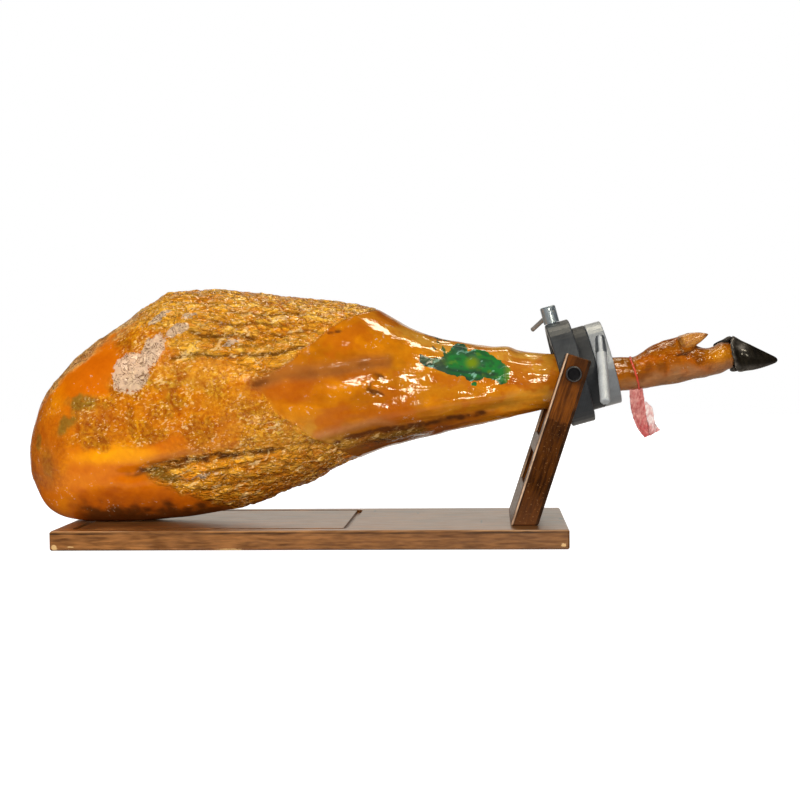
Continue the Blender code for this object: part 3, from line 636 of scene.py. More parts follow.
def leg_colours(upward, zones):
    """The fat's, crust's and skin's tones, from broad patches to creases and stains, with painted shade in
    creases, hollows and underneath, and painted light on raised lumps.
    """
    x, z, drift, wander = zones.x, zones.z, zones.drift, zones.wander
    skin, crust, grain, foot, lip = zones.skin, zones.crust, zones.grain, zones.foot, zones.lip
    tone = paint(
        np.broadcast_to(ORANGE, (*x.shape, 3)),
        (TAN, 0.5 * grain * ease(-0.2, 0.5, drift + 0.5 * wander)),
        (HAZEL, 0.6 * grain),
        (TAN, 0.65 * zones.corner),
        (CRUST, 0.85 * zones.top),
        (GOLD, 0.85 * zones.low),
        (SKIN, skin),
        (HONEY, skin * ease(0.06, 0.16, x) * 0.7),
    )
    soft_x = x + 0.006 * drift + 0.002 * wander
    soft_z = z + 0.004 * drift + 0.002 * wander
    for colour, strength, *oval, turn in TINTS:
        tone = paint(tone, (colour, strength * blob(soft_x, soft_z, oval, turn, 0.75)))
    tone = paint(
        tone,
        (SADDLE, 0.6 * grain * ease(0, 0.5, zones.crumple + wander)),
        (AMBER, 0.6 * grain * ease(0, 0.4, zones.dents - wander)),
        # Tan on the grain's raised pebbles: painted light.
        (TAN, 0.7 * grain * ease(0.05, 0.4, zones.pebbles - 0.5 * drift)),
        (AMBER, 0.5 * crust * ease(0.1, 0.5, drift + zones.dents)),
    )
    tone = tone * (1 - np.array((0.2, 0.12, 0.1)) * grain[..., None])
    # Painted shade: darker and redder towards the bottom of the thick end, darkest where it rests on the
    # board.
    belly = ease(0.06, 0.04, z + 0.012 * wander + 0.01 * drift) * ease(-0.1, -0.16, x)
    contact_shadow = ease(0.046, 0.03, z + 0.01 * wander + 0.006 * drift) * ease(-0.05, -0.12, x)
    # Painted shade in a ring where the dewclaw's root meets the skin.
    root = np.hypot((x - 0.3935) / 0.0068, (z - 0.204) / 0.0105)
    cleft = bell(root, 1, 0.22) * (x < 0.395) * zones.near
    tone = paint(
        tone,
        # Straw on the crust's raised fibres and pebbles: painted light.
        (STRAW, 0.6 * crust * ease(0, 0.4, zones.fibres + 0.4 * zones.pebbles)),
        (ASH, 0.7 * zones.rim),
        # Painted shade in the crust's grooves and in the hollows of the corner and the grain.
        (BARK, 0.42 * crust * zones.crease**3 * ease(-0.3, 0.35, wander + drift)),
        (BARK, 0.35 * zones.corner * zones.pucker**3),
        (RUSSET, 0.45 * grain * zones.pucker**3),
        (SADDLE, skin * 0.6 * ease(0.05, 0.5, drift + 0.6 * wander)),
        (AMBER, skin * 0.3 * ease(0, 0.5, -drift + 0.4 * zones.wrinkles)),
        (RUSSET, skin * 0.35 * ease(0.1, 0.6, zones.tendons) * ease(0.08, 0.2, x)),
        (MAUVE, np.clip(1.1 * zones.band, 0, 0.8)),
        ((0.17, 0.052, 0.012), 0.55 * zones.band**3 * ease(-0.2, 0.3, drift)),
        (DUSK, 0.85 * along_line(LIP_LINE, x, z, 0.0036, 0.012)),
        (SAND, 0.9 * lip * ease(0.058, 0.04, x)),
        (OLIVE, 0.8 * lip * ease(0.045, 0.065, x)),
        (TAN, 0.5 * bell(zones.cut, 0, 0.0022) * ease(0.165, 0.145, z)),
        # Painted shade in the wrinkles, along the lower fold and in the crease under the lip.
        (UMBER, 0.8 * np.clip(1.3 * zones.lines, 0, 1)),
        (UMBER, 0.75 * along_line(LOWER_FOLD[0], x, z, 0.0036, 0.01) * (0.9 + wander)),
        (UMBER, 1.3 * along_line(CREASE_LINE, x, z, 0.0034, 0.01) * (0.9 + wander)),
        (UMBER, np.clip(1.2 * zones.spots, 0, 0.92)),
        (OLIVE, 0.85 * zones.mould),
        # Painted shade at the bottom of the thick end, where it rests on the board, and on the faces turned
        # down.
        (RUSSET, 0.8 * belly * ease(-0.275, -0.25, x + 0.01 * drift)),
        (UMBER, 0.9 * contact_shadow * ease(-0.262, -0.24, x + 0.01 * drift)),
        (UMBER, 0.35 * zones.under * ease(-0.15, -0.09, x) * ease(0.2, 0.12, x)),
        (TAWNY, foot * 0.85),
        (SADDLE, foot * 0.6 * ease(0, 0.5, zones.knobs + 0.4 * wander)),
        (ROSE, foot * 0.7 * ease(-0.1, -0.65, upward + 0.25 * wander)),
        (UMBER, foot * 0.45 * ease(0.05, 0.6, -0.7 * zones.knobs + 0.8 * wander)),
        (HONEY, foot * 0.8 * blob(x, z, (426, 196, 12, 9), 0, 0.6)),
        # Painted shade at the dewclaw's root and in the fold under it.
        (UMBER, np.clip(0.85 * cleft + zones.claw_fold, 0, 0.95)),
    )
    return np.clip(tone, 0.001, 1)


def ink_colours(zones):
    """Green, greyer at the thick end, with dark seams and yellower spots."""
    x, z, wander = zones.x, zones.z, zones.wander
    return paint(
        np.broadcast_to(GREEN, (*x.shape, 3)),
        (MOSS, ease(0.146, 0.134, x + 0.003 * wander)),
        (TEAL, 0.85 * blob(x, z, (155, 204, 8, 8), 0, 0.6)),
        (NIGHT, 0.8 * along_line(INK_SEAM, x, z + 0.001 * wander, 0.0024, 0.006)),
        (NIGHT, 0.6 * bell(z, smooth_line(INK_FOOT)(x) + 0.001, 0.0026)),
        (TEAL, 0.6 * ease(0, 0.4, zones.dents + 0.6 * wander)),
        (LIME, 0.35 * ease(0.2, 0.5, -wander) * ease(0.134, 0.146, x)),
        (NIGHT, 0.5 * ease(0.1, 0.5, zones.crumple + zones.pebbles)),
        (LIME, 0.9 * blob(x, z, (168, 187.5, 6, 5), 0, 0.7)),
        (LIME, 0.8 * ease(0.199, 0.2075, x)),
    )


def skin_look():
    """Oiled fat and skin: painted tones, cracks and pebbled grain under a wet coat."""
    look = Look("cured_skin", Coat_Roughness=0.05, Roughness=0.6, Specular_IOR_Level=0)
    tone = look.layer("tone", "Color")
    crust, grain, fur = (look.layer(name) for name in ("crust", "grain", "fur"))
    texture = look.math("MAXIMUM", crust, grain)
    here = look.place()
    along = look.place((0.5, 1, 1))
    pebbles = look.noise(here, 270, 2, 0.6)
    lumps = look.noise(along, 120, 2.5, 0.6, 0.8)
    broad = look.noise(here, 60)
    strokes = look.noise(look.place((1, 1, 0.28), (0, 0.95, 0)), 330, 2, 0.6)
    # Cracks: long wandering lines, and a net of small cells between them.
    off_line = look.apart(lumps, 0.5)
    lines = look.product(look.remap(off_line, 0.004, 0.02, 1, 0), look.remap(broad, 0.42, 0.55))
    swirl = look.vector("SUBTRACT", look.noise(along, 130, output="Color"), (0.5, 0.5, 0.5))
    cells = look.cells(look.vector("ADD", along, look.scale(swirl, 0.005)), 170)
    net = look.product(look.remap(cells, 0.02, 0.08, 0.7, 0), look.remap(broad, 0.5, 0.38))
    cracks = look.product(look.math("MAXIMUM", lines, net), crust)
    dry = look.math("SUBTRACT", 1, look.product(cracks, 0.85))
    look.set("Coat Weight", look.product(look.layer("wet"), dry))
    # Painted light and shade: hollows of the bump pattern redder and darker, raised lumps yellower and
    # lighter.
    rise = look.total(
        look.product(look.remap(pebbles, 0.36, 0.64, -1.2, 1.2), look.total(grain, 0.1)),
        look.remap(broad, 0.35, 0.65, -0.35, 0.25),
        look.product(look.sway(lumps, 1), crust),
        look.product(look.remap(strokes, 0.35, 0.65, -1, 1), fur),
    )
    hollow = look.vector("MULTIPLY", tone, (0.78, 0.58, 0.4))
    lit = look.vector("MULTIPLY", tone, (1.2, 1.34, 1.45))
    colour = look.mix(look.remap(rise, -1, 1), hollow, lit)
    # Painted shade: the crust's cracks darkened.
    colour = look.mix(look.product(cracks, 0.8), colour, BARK)
    # Small pale flecks, painted glints, thicker in some places than in others.
    flecks = look.noise(look.place((0.6, 1, 1), (0, 0.35, 0)), 440, 1.5)
    flecks = look.remap(look.total(flecks, look.remap(broad, 0.3, 0.7, -0.1, 0.06)), 0.58, 0.66)
    flecks = look.product(flecks, look.remap(texture, 0.2, 0.6, 0, 0.45))
    # Long pale strokes: painted glints on the crust and on the ink.
    glint_strokes = look.noise(look.place((0.45, 1, 1), (0, 0.5, 0)), 150, 2, 0.55)
    glint_strokes = look.remap(glint_strokes, 0.6, 0.68)
    uneven = look.total(look.sway(pebbles, 0.3), look.sway(broad, 0.25))
    # Pale film patches in lilac, partly a painted reflection, with dark splits through them.
    glaze_and_sheen = look.remap(look.total(look.layer("glaze_and_sheen"), uneven), 0.34, 0.6)
    splits = look.apart(look.noise(here, 85, 3, 0.6, 1.6), 0.5)
    splits = look.product(look.remap(splits, 0.006, 0.022, 1, 0), glaze_and_sheen)
    ink = look.total(look.layer("ink"), look.sway(pebbles, 0.15))
    # The ink's own colours with painted glint strokes over them.
    stain = look.mix(look.product(glint_strokes, 0.55), look.layer("ink_tone", "Color"), (0.3, 0.62, 0.45))
    for share, paint_over in (
        (flecks, CREAM), (look.product(glint_strokes, crust, 0.55), CREAM), (look.product(glaze_and_sheen, 0.72), LILAC),
        (look.product(splits, 0.9), BARK), (look.remap(ink, 0.42, 0.58, 0, 0.97), stain),
    ):
        colour = look.mix(share, colour, paint_over)
    look.set("Base Color", colour)
    mounds = look.total(look.remap(off_line, 0, 0.08), look.remap(cells, 0, 0.3), lumps)
    height = look.total(
        look.product(mounds, crust),
        look.product(pebbles, look.total(look.product(texture, 0.75), 0.1)),
        look.product(strokes, fur, 0.7),
        look.product(splits, -0.4),
    )
    wet = look.bump(height, 0.0022, 0.8)
    look.set("Coat Normal", wet)
    look.set("Normal", wet)
    return look.material


def make_leg():
    grid, side, upward, swell = leg_base()
    zones = leg_zones(grid, side, upward)
    relief = leg_relief(grid, zones)
    normals = grid_normals(grid)
    points = grid + normals * (relief * ease(0, 0.5, swell))[..., None]
    points[..., 2] = np.maximum(points[..., 2], BOARD_TOP + GAP)
    ceiling = CAD_BOX[1][2] - CROWN_EASE
    over = np.maximum(points[..., 2] - ceiling, 0)
    points[..., 2] -= over - CROWN_EASE * np.tanh(over / CROWN_EASE)
    points[..., 0] = np.clip(points[..., 0], LEG_START, LEG_END)
    slim = 1 - 0.15 * ease(0.431, 0.441, points[..., 0:1])
    middle = (points.max(axis=1, keepdims=True) + points.min(axis=1, keepdims=True)) / 2
    points[..., 1:] = middle[..., 1:] + (points[..., 1:] - middle[..., 1:]) * slim
    rows = [[(LEG_START, 0, BUTT_HEIGHT)]] + [list(row) for row in points]
    leg = skin_rows("cured_leg", rows, skin_look())

    layers = {
        "tone": leg_colours(upward, zones),
        "ink": zones.ink,
        "ink_tone": ink_colours(zones),
        "crust": most(zones.crust, 0.35 * zones.corner, 0.5 * zones.lip),
        "grain": most(zones.grain, 0.34 * zones.foot * ease(-0.2, 0.2, upward)),
        "glaze_and_sheen": zones.glaze_and_sheen,
        "wet": zones.wet * (1 - 0.85 * np.clip(zones.lines, 0, 1)),
        "fur": zones.fur,
    }
    for name, values in layers.items():
        flat = values.reshape(-1, *values.shape[2:])
        add_layer(leg, name, np.concatenate([flat[:1], flat]))
    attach(leg, "head")
    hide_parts("ham_leg")
    return loop_path(grid, points, upward)


def loop_path(grid, points, upward):
    """Where the seal's loop lies: a slanted ring of points just off the shank, evened out."""
    outward = grid_normals(points)
    loop = []
    for k in range(0, LEG_SIDES, 3):
        station = LOOP_X - LOOP_SLANT * upward[-1, k]
        r = int(np.argmin(np.abs(grid[:, k, 0] - station)))
        loop.append(Vector(points[r, k] + 0.001 * outward[r, k]))
    count = len(loop)
    for _ in range(LOOP_SMOOTH):
        loop = [(loop[k - 1] + 2 * loop[k] + loop[(k + 1) % count]) / 4 for k in range(count)]
    return loop


# ---- wood and metal


def wood_look(name, light, dark, turn=(0, 0, 0), along=2, marks=None, coat=0.03, shine=0.06):
    """Stained and varnished wood, its grain along one axis of the turned coordinates."""
    look = Look(name, Coat_Weight=coat, Coat_Roughness=0.2, Specular_IOR_Level=shine)

    def drawn_out(share):
        stretch = [1, 1, 1]
        stretch[along] = share
        return look.place(tuple(stretch), turn)

    here = drawn_out(0.045)
    streaks = look.noise(here, 95, 4, 0.62, 0.5)
    strokes = look.noise(drawn_out(0.13), 420, 2, 0.55)
    pores = look.remap(look.noise(here, 700, 3, 0.6), 0.6, 0.74)
    even = drawn_out(1)
    share = look.total(
        look.remap(streaks, 0.3, 0.7, 0, 0.5), look.remap(strokes, 0.34, 0.66, 0, 0.6),
        look.remap(look.noise(even, 30, 1), 0.2, 0.8, -0.3, 0.25),
    )
    colour = look.mix(share, dark, light)
    colour = look.mix(look.product(pores, 0.55), colour, tuple(0.35 * part for part in dark))
    if marks is not None:
        colour = marks(look, colour, even)
    height = look.total(streaks, look.product(pores, -0.6), look.product(strokes, 0.5))
    return look.finish(colour, strokes, (0.3, 0.42), height, 0.0003)


def post_marks(low, high, level=None):
    """Painted edge light and shade beside a post's long edges; on the near post also a darker stain below a
    level, painted shade over the top deepening to the right, a paler greyer brown near the foot and pale
    specks low down.
    """

    def draw(look, colour, here):
        across, _, upward = look.axes(here)
        even = look.place()
        if level is not None:
            wave = look.sway(look.noise(even, 150), 0.0015)
            upward = look.total(upward, wave)
            colour = look.scale(colour, look.remap(upward, level - 0.0008, level + 0.0008, 0.5, 1))
            # Painted shade over the top of the post, deeper towards its right edge.
            shade = look.remap(across, low + 0.006, high - 0.006, 0.68, 0.42)
            colour = look.mix(look.remap(upward, 0.238, 0.246), colour, look.scale(colour, shade))
            colour = look.mix(look.remap(upward, 0.086, 0.13, 0.45, 0), colour, (0.17, 0.062, 0.022))
            flecks = look.remap(look.noise(even, 420, 2, 0.6), 0.62, 0.7)
            flecks = look.product(flecks, look.remap(upward, 0.21, 0.19, 0, 0.35))
            colour = look.mix(flecks, colour, (0.36, 0.17, 0.06))
        # Painted edge light and shade: a light line on the left bevel with a dark line inside it, and a
        # dark line along the right edge; noise breaks them up unevenly.
        wear = look.remap(look.noise(even, 90, 3), 0.35, 0.6, 0.5, 1)
        for middle, half, tint, share in (
            (low + 0.0026, 0.0007, (0.02, 0.009, 0.004), 0.85),
            (low + 0.0012, 0.0006, (0.66, 0.44, 0.28), 0.8),
            (high - 0.0016, 0.0014, (0.012, 0.006, 0.003), 0.92),
        ):
            colour = look.mix(look.product(look.strip(across, middle, half), share, wear), colour, tint)
        return colour

    return draw


# Marks on the board in millimetres: centre, half sizes, and whether each is pale.
BOARD_SPOTS = (
    (-260, -107, 3, 3.2, 2, 3, True), (-243, -107, 4, 4, 2, 0.6, True), (-79, -107, 1, 13, 2, 0.9, True),
    (259, -107, 4.6, 2.5, 2, 1.8, True), (55.7, 78, 20, 1.6, 8, 1, False),
    (105.4, 55, 20, 1.4, 6, 1, False), (176.4, -31, 20, 1.1, 16, 1, False),
    (262, -8, 20, 3.5, 10, 3, False),
)


def board_marks(look, colour, here):
    """Painted edge light and shade along the front, a dark smudge on the top, darker towards the right end,
    pale chips and old holes on the board.
    """
    along, across, upward = look.axes(here)
    smudge = look.remap(look.noise(look.place((0.25, 1, 1)), 60), 0.5, 0.66)
    smudge = look.product(smudge, look.remap(upward, 0.018, 0.0195, 0, 0.45))
    colour = look.mix(smudge, colour, (0.05, 0.02, 0.008))
    colour = look.scale(colour, look.remap(along, -0.262, 0.262, 1.12, 0.72))
    edge_break = look.remap(look.noise(look.place((0.2, 1, 1)), 70, 3), 0.4, 0.55, 0.25, 1)
    # Painted edge light and shade on the front face: a light line at the top arris, a dark line just below
    # it and another at the foot.
    front = look.remap(across, -0.1068, -0.106, 0.85, 0)
    for height, half, tint in (
        (0.02, 0.0006, (0.62, 0.36, 0.17)), (0.0172, 0.0005, (0.022, 0.011, 0.005)),
        (0, 0.0007, (0.03, 0.016, 0.008)),
    ):
        colour = look.mix(look.product(look.strip(upward, height, half), edge_break, front), colour, tint)
    for *sizes, pale in BOARD_SPOTS:
        sizes = [part / 1000 for part in sizes]
        tint = (0.62, 0.38, 0.15) if pale else (0.03, 0.014, 0.006)
        colour = look.mix(look.spot(here, sizes[:3], sizes[3:]), colour, tint)
    return colour


def metal_look(name, colour, rough, metallic=0.55, turned=False, brushed=0.00012, grain=1500):
    """Turned or drawn metal under a dull film, with faint tool lines and a little wear."""
    look = Look(name, Metallic=metallic, Specular_IOR_Level=0.3)
    blotches = look.noise(look.place(), 60, 3, 0.6)
    stretch = (1, 0.02, 0.02) if turned else (1, 1, 1)
    lines = look.noise(look.place(stretch, (0, -HEAD_RISE, 0)), grain, 2, 0.6)
    colour = look.scale(colour, look.remap(look.total(lines, blotches), 0.7, 1.3, 0.84, 1.12))
    return look.finish(colour, blotches, (rough - 0.05, rough + 0.07), lines, brushed)


def dress(look, *nodes):
    """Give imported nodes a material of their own."""
    for name in nodes:
        for slot in bpy.data.objects[name].material_slots:
            slot.material = look


def dress_stand():
    board = wood_look("board_wood", (0.33, 0.13, 0.032), (0.095, 0.032, 0.007), along=0,
                      marks=board_marks, coat=0.3, shine=0.5)
    dress(board, "board")
    edges = [corner.co.x * math.cos(POST_LEAN) - corner.co.z * math.sin(POST_LEAN)
             for corner in bpy.data.objects["post_near"].data.vertices]
    for name, node, level in (("near_post_wood", "post_near", 0.2005), ("post_wood", "post_far", None)):
        marks = post_marks(min(edges), max(edges), level)
        stain = wood_look(name, (0.175, 0.047, 0.003), (0.034, 0.009, 0.001), (0, -POST_LEAN, 0),
                          marks=marks, shine=0.03)
        dress(stain, node)
    cross = wood_look("rail_wood", (0.12, 0.036, 0.006), (0.03, 0.009, 0.002), along=1)
    dress(cross, "rail_upper", "block_lower")


def dress_head():
    for node, *metal in (
        ("ring_outer", "satin_steel", (0.056, 0.061, 0.068), 0.42, 0.55, True),
        ("sleeve_inner", "sleeve_steel", (0.041, 0.044, 0.049), 0.5, 0.55, True),
        ("lock_collar", "collar_aluminium", (0.305, 0.325, 0.345), 0.42, 0.55, True),
        ("clamp_screw", "zinc", (0.48, 0.56, 0.62), 0.32, 0.8),
        ("tommy_bar", "bar_steel", (0.34, 0.33, 0.31), 0.45),
        ("lock_lever", "rod_aluminium", (0.5, 0.52, 0.525), 0.58, 0.35, False, 0.0004, 650),
    ):
        dress(metal_look(*metal), node)
    black = Look("black_oxide", Metallic=0.6, Specular_IOR_Level=0.1)
    here = black.place()
    speckle = black.noise(here, 500, 3)
    low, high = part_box("bolt_near")
    reach = black.reach(here, (low + high) / 2, (1, 0, 1))
    colour = black.mix(speckle, (0.003, 0.003, 0.004), (0.012, 0.012, 0.014))
    # A pale ring near the head's rim: a painted highlight on its chamfer.
    colour = black.mix(black.product(black.strip(reach, 0.0074, 0.0003), 0.6), colour, (0.16, 0.155, 0.15))
    dress(black.finish(colour, speckle, (0.28, 0.45), speckle, 0.0002), "bolt_near", "bolt_far")


# ---- hooves, claws and tag

HOOF_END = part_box("hoof_near")[1].x
HOOF_TOP = 0.2129
HOOF_SOLE = 0.1752
HOOF_TIP_TOP = 0.1893
HOOF_TIP_SOLE = 0.1852
HOOF_HALF_WIDTH = 0.0103
HOOF_CLEFT = 0.0006
HOOF_SPLAY = 0.003
HOOF_ROWS = 44
HOOF_SIDES = 64
CLAW_RINGS = 26
CLAW_SIDES = 28
# The coronet: the hoof's back edge as X for each height from sole, -1, to top, 1.
CORONET = ((-1, 0.449), (-0.85, 0.4455), (-0.5, 0.4435), (0.1, 0.44), (0.6, 0.4388), (1, 0.4425))
FAR_CORONET = ((-1, 0.445), (-0.5, 0.438), (0.1, 0.429), (0.5, 0.4265), (0.75, 0.434), (1, 0.443))


def horn_look():
    look = Look("horn_black", Coat_Weight=0.22, Coat_Roughness=0.1, Specular_IOR_Level=0.05)
    rings = look.noise(look.place((1, 0.35, 0.35), (0, 0.25, 0)), 260)
    blotches = look.noise(look.place(), 130, 3, 0.6)
    colour = look.mix(look.remap(rings, 0.35, 0.7), (0.004, 0.003, 0.002), (0.012, 0.009, 0.005))
    # Pale where the layer says: grey-brown at the coronet and along the sole, and a painted highlight
    # patch.
    dust_and_glare_share = look.product(look.remap(blotches, 0.4, 0.62, 0.25, 1), look.layer("dust_and_glare"))
    colour = look.mix(dust_and_glare_share, colour, (0.24, 0.205, 0.165))
    return look.finish(colour, blotches, (0.26, 0.42), look.total(rings, blotches), 0.0002, 0.3)


def make_hooves():
    """Each half tapers from its ragged back edge to the tip, flatter inside the cleft."""
    look = horn_look()
    t = np.linspace(0, 1, HOOF_ROWS)[:, None]
    angle = 2 * math.pi * np.arange(HOOF_SIDES) / HOOF_SIDES
    y, z = rounded(np.cos(angle), 2.6), rounded(np.sin(angle), 2.2)
    top = HOOF_TOP + (HOOF_TIP_TOP - HOOF_TOP) * t
    sole = HOOF_SOLE + (HOOF_TIP_SOLE - HOOF_SOLE) * t**1.8
    wide = HOOF_HALF_WIDTH * np.sqrt(1 - 0.9 * t**1.6)
    close = np.sqrt(np.maximum(1 - np.maximum(t - 0.93, 0) ** 2 / 0.0049, 0))
    # The wall bulges a little at the coronet and is pressed in below it.
    bulge = 0.0008 * bell(t, 0.05, 0.06) - 0.0006 * bell(t, 0.2, 0.1)
    # Paler at the coronet and along the sole; the patch high on the wall just ahead of the coronet is a
    # painted highlight.
    edge = 0.55 * np.maximum(-z - 0.55, 0) / 0.45 + 0.5 * bell(t, 0, 0.05)
    dust_and_glare = np.minimum(0.8 * bell(t, 0.22, 0.1) * bell(z, 0.62, 0.25) + edge * (1 - 0.6 * t), 1)
    for name, side, coronet in (("near", -1, CORONET), ("far", 1, FAR_CORONET)):
        ragged = [noise.fractal(Vector((4.5 * a, 4.5 * b, 5 * side)), 1, 2, 2) for a, b in zip(y, z)]
        back = smooth_line(coronet)(z) + 0.0015 * np.array(ragged)
        x = back + (HOOF_END - back) * t
        centre = side * (HOOF_CLEFT + HOOF_HALF_WIDTH + HOOF_SPLAY * t)
        across = centre + (wide + bulge) * y * close * np.where(y * side < 0, 0.55, 1)
        height = (top + sole) / 2 + ((top - sole) / 2 + 0.5 * bulge) * z * close
        hoof = skin_rows("hoof_horn_" + name, np.stack([x, across, height], axis=-1), look)
        add_layer(hoof, "dust_and_glare", dust_and_glare.ravel())
        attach(hoof, "head")
        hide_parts("hoof_" + name)


def claw_look():
    look = Look("claw_horn", Coat_Weight=0.4, Coat_Roughness=0.12)
    fibres = look.noise(look.place((0.4, 1, 1), (0, 0.5, 0)), 600, 3, 0.6)
    colour = look.mix(look.remap(fibres, 0.3, 0.7), (0.3, 0.085, 0.01), (0.56, 0.24, 0.03))
    # Dark at the tip, and painted shade at the root.
    colour = look.mix(look.product(look.layer("tip"), 0.8), colour, (0.1, 0.035, 0.008))
    return look.finish(colour, fibres, (0.26, 0.42), fibres, 0.0005, 0.6)


def make_claws():
    """Two blunt cones that curve up and outwards, with a rolled cuff at the root."""
    look = claw_look()
    t = np.linspace(0, 1, CLAW_RINGS)[:, None]
    angle = 2 * math.pi * np.arange(CLAW_SIDES) / CLAW_SIDES
    cos, sin = np.cos(angle), np.sin(angle)
    arch = np.sin(math.pi * t)
    rough = [[noise.noise(Vector((6 * a, 6 * b, 5 * u))) for a, b in zip(cos, sin)] for u in t[:, 0]]
    radius = 0.0088 * (1 - t**1.8) ** 0.72 * (0.88 + 0.16 * arch) + 0.0008 * bell(t, 0.16, 0.07)
    radius = radius * (1 + 0.05 * np.array(rough))
    # Darker towards the tip; the band at the root is painted shade.
    tip = np.repeat(ease(0.72, 1, t) + 0.8 * bell(t, 0.05, 0.07), CLAW_SIDES)
    across = np.array((0, 1, 0))
    for name, side in (("near", -1), ("far", 1)):
        root = np.array((0.388, side * 0.0115, 0.2035))
        along = np.array((0.028, side * 0.007, 0.0117))
        upward = np.cross(along / np.linalg.norm(along), across)
        centre = root + along * t[..., None] + upward * 0.001 * arch[..., None]
        spoke = across * (0.8 * cos)[:, None] + upward * sin[:, None]
        claw = skin_rows("dewclaw_horn_" + name, centre + spoke * radius[..., None], look)
        add_layer(claw, "tip", tip)
        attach(claw, "head")
        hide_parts("dewclaw_" + name)


def tag_look(name, deep, pale, alpha, dark=None):
    """Thin crinkled film, deeper in colour towards its lower end where it is doubled."""
    look = Look(name, Roughness=0.3, Coat_Weight=0.2, Coat_Roughness=0.15, Alpha=alpha)
    creases = look.noise(look.place((1, 1, 0.35), (0, -0.35, 0)), 300, 3, 0.6, 0.4)
    # Paler on the crinkles' ridges and deeper in their folds: painted light and shade.
    colour = look.mix(look.remap(creases, 0.36, 0.64), deep, pale)
    if dark is not None:
        height = look.axes(look.place())[2]
        share = look.total(look.remap(height, 0.138, 0.108), look.remap(creases, 0.3, 0.7, 0.25, -0.25))
        colour = look.mix(look.remap(share, 0.2, 1, 0, 0.8), colour, dark)
    look.set("Base Color", colour)
    look.set("Normal", look.bump(creases, 0.001, 0.8))
    return look.material


def make_loop(points):
    """A flat band that lies on the shank, through points just off its surface."""
    middle = sum(points, Vector()) / len(points)
    rows = []
    for before, point, after in zip(points[-1:] + points, points, points[1:] + points[:1]):
        ahead = (after - before).normalized()
        out = (point - middle - ahead * (point - middle).dot(ahead)).normalized()
        wide = ahead.cross(out)
        angles = [math.pi / 4 * corner for corner in range(8)]
        rows.append([point + wide * (0.0011 * math.cos(a)) + out * (0.0004 * math.sin(a)) for a in angles])
    red = tag_look("seal_red", (0.62, 0.045, 0.02), (0.75, 0.1, 0.05), 0.85)
    loop = skin_rows("seal_loop", rows, red, close_along=True)
    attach(loop, "head")
    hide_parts("tag_loop")


# The strap and its folded flap in millimetres: left and right edge as X and Z, from the
# top down.
STRAP_LEFT = ((334.7, 158.5), (335.3, 145), (337.2, 132), (341.5, 118.5), (350.3, 105.8))
STRAP_RIGHT = ((348.6, 159.5), (350.2, 146), (351.6, 133), (354.5, 120), (360, 110.5))
FLAP_LEFT = ((350.6, 144.5), (351.2, 136), (352.6, 127), (354.5, 117), (355.5, 108))
FLAP_RIGHT = ((352.4, 144), (358.8, 136.5), (359.8, 129), (361.3, 121.6), (367, 113.8))


def strip_rows(left, right, seed, depth, steps=60, across=18):
    """Rows of a crumpled strip between two edges, hanging near the plane Y = depth."""
    stations = [k / (len(left) - 1) for k in range(len(left))]
    edges = [smooth_line(list(zip(stations, values)))
             for side in (left, right) for values in zip(*side)]
    rows = []
    for r in range(steps + 1):
        t = r / steps
        start_x, start_z, end_x, end_z = (float(edge(t)) / 1000 for edge in edges)
        row = []
        for c in range(across + 1):
            u = c / across
            crumple = noise.fractal(Vector((5 * u, 10 * t, seed)), 1, 2, 3)
            edge = 0.0005 * noise.noise(Vector((16 * t, 3 * (u > 0.5), seed)))
            x = start_x + (end_x - start_x) * u + edge
            z = start_z + (end_z - start_z) * u + 0.0005 * crumple
            row.append(Vector((x, depth + 0.0016 * crumple + 0.0018 * math.sin(6 * t + 2 * u), z)))
        rows.append(row)
    return rows


def make_strap():
    """A crumpled strap of thin film that hangs down and folds back up on itself."""
    deep = tag_look("strap_red", (0.56, 0.1, 0.085), (0.78, 0.32, 0.27), 0.84, (0.56, 0.035, 0.035))
    pale = tag_look("strap_pink", (0.84, 0.46, 0.42), (0.98, 0.86, 0.8), 0.78, (0.7, 0.16, 0.14))
    strap_rows = strip_rows(STRAP_LEFT, STRAP_RIGHT, 2, -0.0045)
    strap = skin_rows("seal_strap", strap_rows, deep, close_round=False)
    flap_rows = strip_rows(FLAP_LEFT, FLAP_RIGHT, 6, -0.0065, 44, 12)
    fold = skin_rows("seal_fold", flap_rows, pale, close_round=False)
    for piece in (strap, fold):
        solid = piece.modifiers.new("thickness", "SOLIDIFY")
        solid.thickness = 0.0003
        solid.offset = 0
        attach(piece, "head")
    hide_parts("tag_strap")


# ---- the stage

CAMERA_PLACE = (0.1849, -1.6554, 0.2037)
CAMERA_YAW = 0.0574
CAMERA_PITCH = -0.0336
CAMERA_ROLL = -0.0103
CAMERA_LENS = 69.38
SENSOR_WIDTH = 36
FLOOR_RADIUS = 3
ROOM_LIGHT = 0.04
WARM = (1, 0.88, 0.66)
WALL_LIGHT = 0.95
TABLE_LIGHT = 0.4
WALL_TINT = (1, 0.91, 0.79)
LIT_PLACE = Vector((0.05, 0, 0.14))
# Name, place, size, watts, and whether the light shows only in the gloss.
LIGHTS = (
    ("key", (-1.05, -1.55, 1.35), (0.8, 0.7), 27, False),
    ("fill", (0.45, -2.2, 0.36), (1.6, 0.7), 40, False),
    ("crown", (0.1, 0.1, 2), (1.4, 0.9), 9, False),
    ("back", (0.3, 2.6, 1), (1.6, 1), 22, False),
    ("gleam", (-0.75, -1.35, 1.35), (0.6, 0.4), 12, True),
    ("crest", (0.1, 0.7, 1.6), (0.8, 0.3), 9, True),
    ("shine", (0.68, -1.55, 0.95), (0.2, 0.2), 6.5, True),
    ("low_shine", (0.62, -1.6, 0.34), (0.16, 0.16), 3, True),
    ("side_shine", (0.83, -0.46, 1.68), (0.4, 0.4), 13, True),
)


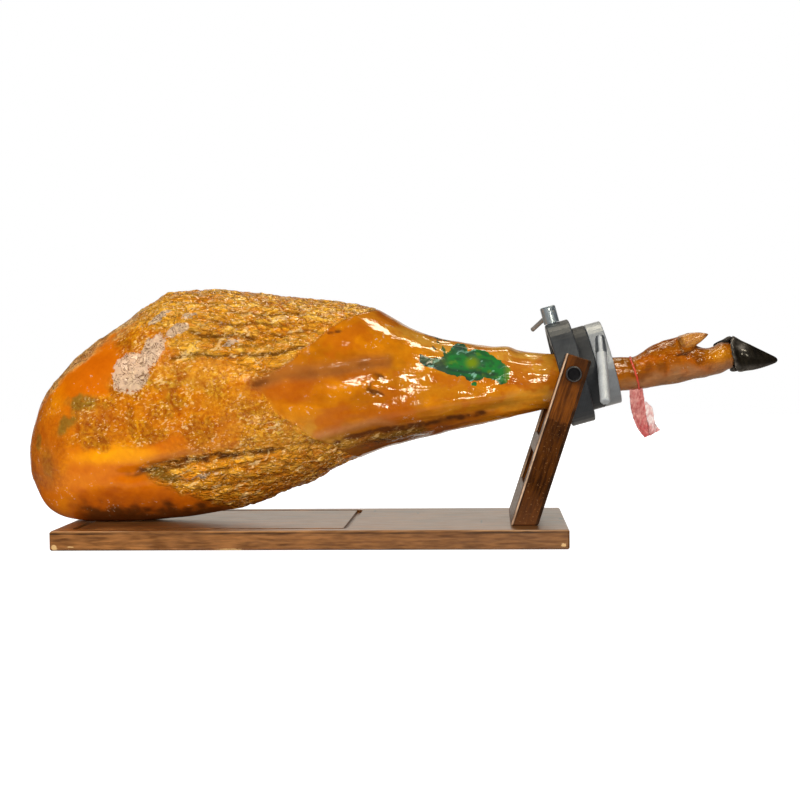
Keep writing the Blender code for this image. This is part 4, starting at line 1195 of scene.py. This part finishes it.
def make_camera():
    data = bpy.data.cameras.new("view")
    data.lens = CAMERA_LENS
    data.sensor_width = SENSOR_WIDTH
    data.clip_end = 50
    camera = bpy.data.objects.new("view", data)
    turn = Matrix.Rotation(CAMERA_YAW, 4, "Z")
    turn = turn @ Matrix.Rotation(math.pi / 2 + CAMERA_PITCH, 4, "X")
    turn = turn @ Matrix.Rotation(CAMERA_ROLL, 4, "Z")
    camera.matrix_world = Matrix.Translation(CAMERA_PLACE) @ turn
    bpy.context.scene.collection.objects.link(camera)
    bpy.context.scene.camera = camera


def make_light(name, place, size, power, glossy):
    """A rectangle that lights either the gloss or everything but the gloss."""
    data = bpy.data.lights.new(name, "AREA")
    data.color = WARM if glossy else (1, 1, 1)
    data.shape = "RECTANGLE"
    data.size, data.size_y = size
    data.energy = power
    light = bpy.data.objects.new(name, data)
    light.location = place
    light.rotation_euler = (LIT_PLACE - Vector(place)).to_track_quat("-Z", "Y").to_euler()
    light.visible_camera = False
    light.visible_diffuse = not glossy
    light.visible_glossy = glossy
    bpy.context.scene.collection.objects.link(light)


def make_stage():
    """A round white floor that gives back little light of its own."""
    shape = bmesh.new()
    bmesh.ops.create_circle(shape, cap_ends=True, segments=128, radius=FLOOR_RADIUS)
    mesh = bpy.data.meshes.new("floor")
    shape.to_mesh(mesh)
    shape.free()
    grey, white = (0.45, 0.45, 0.45), (1, 1, 1)
    look = Look("floor_white", Roughness=0.9, Base_Color=grey, Specular_IOR_Level=0, Emission_Color=white)
    seen = look.node("LightPath", {}).outputs["Is Camera Ray"]
    look.set("Emission Strength", look.product(seen, 0.97))
    floor = new_object("floor", mesh, look.material)
    floor.location.z = -0.0002
    floor.visible_glossy = False


def make_world():
    """White to the eye; to the object a dim room with a bright wall behind it."""
    sky = Look("studio", "Background", "worlds", Color=WALL_TINT)
    _, back, upward = sky.axes(sky.node("TexCoord", {}).outputs["Generated"])
    behind = sky.remap(back, 0.7, 0.98, ROOM_LIGHT, WALL_LIGHT, "SMOOTHSTEP")
    sky.set("Strength", sky.total(behind, sky.remap(upward, -0.15, -0.6, 0, TABLE_LIGHT)))
    white = sky.node("Background", {"Color": (1, 1, 1)}).outputs[0]
    seen = sky.node("LightPath", {}).outputs["Is Camera Ray"]
    choice = sky.node("MixShader", {0: seen, 1: sky.shader.outputs[0], 2: white}).outputs[0]
    sky.feed(sky.tree.nodes["World Output"].inputs["Surface"], choice)
    bpy.context.scene.world = sky.material
    bpy.context.scene.view_settings.view_transform = "Standard"


def main():
    loop = make_leg()
    make_loop(loop)
    make_strap()
    make_hooves()
    make_claws()
    dress_stand()
    dress_head()
    make_camera()
    make_world()
    make_stage()
    for light in LIGHTS:
        make_light(*light)


main()
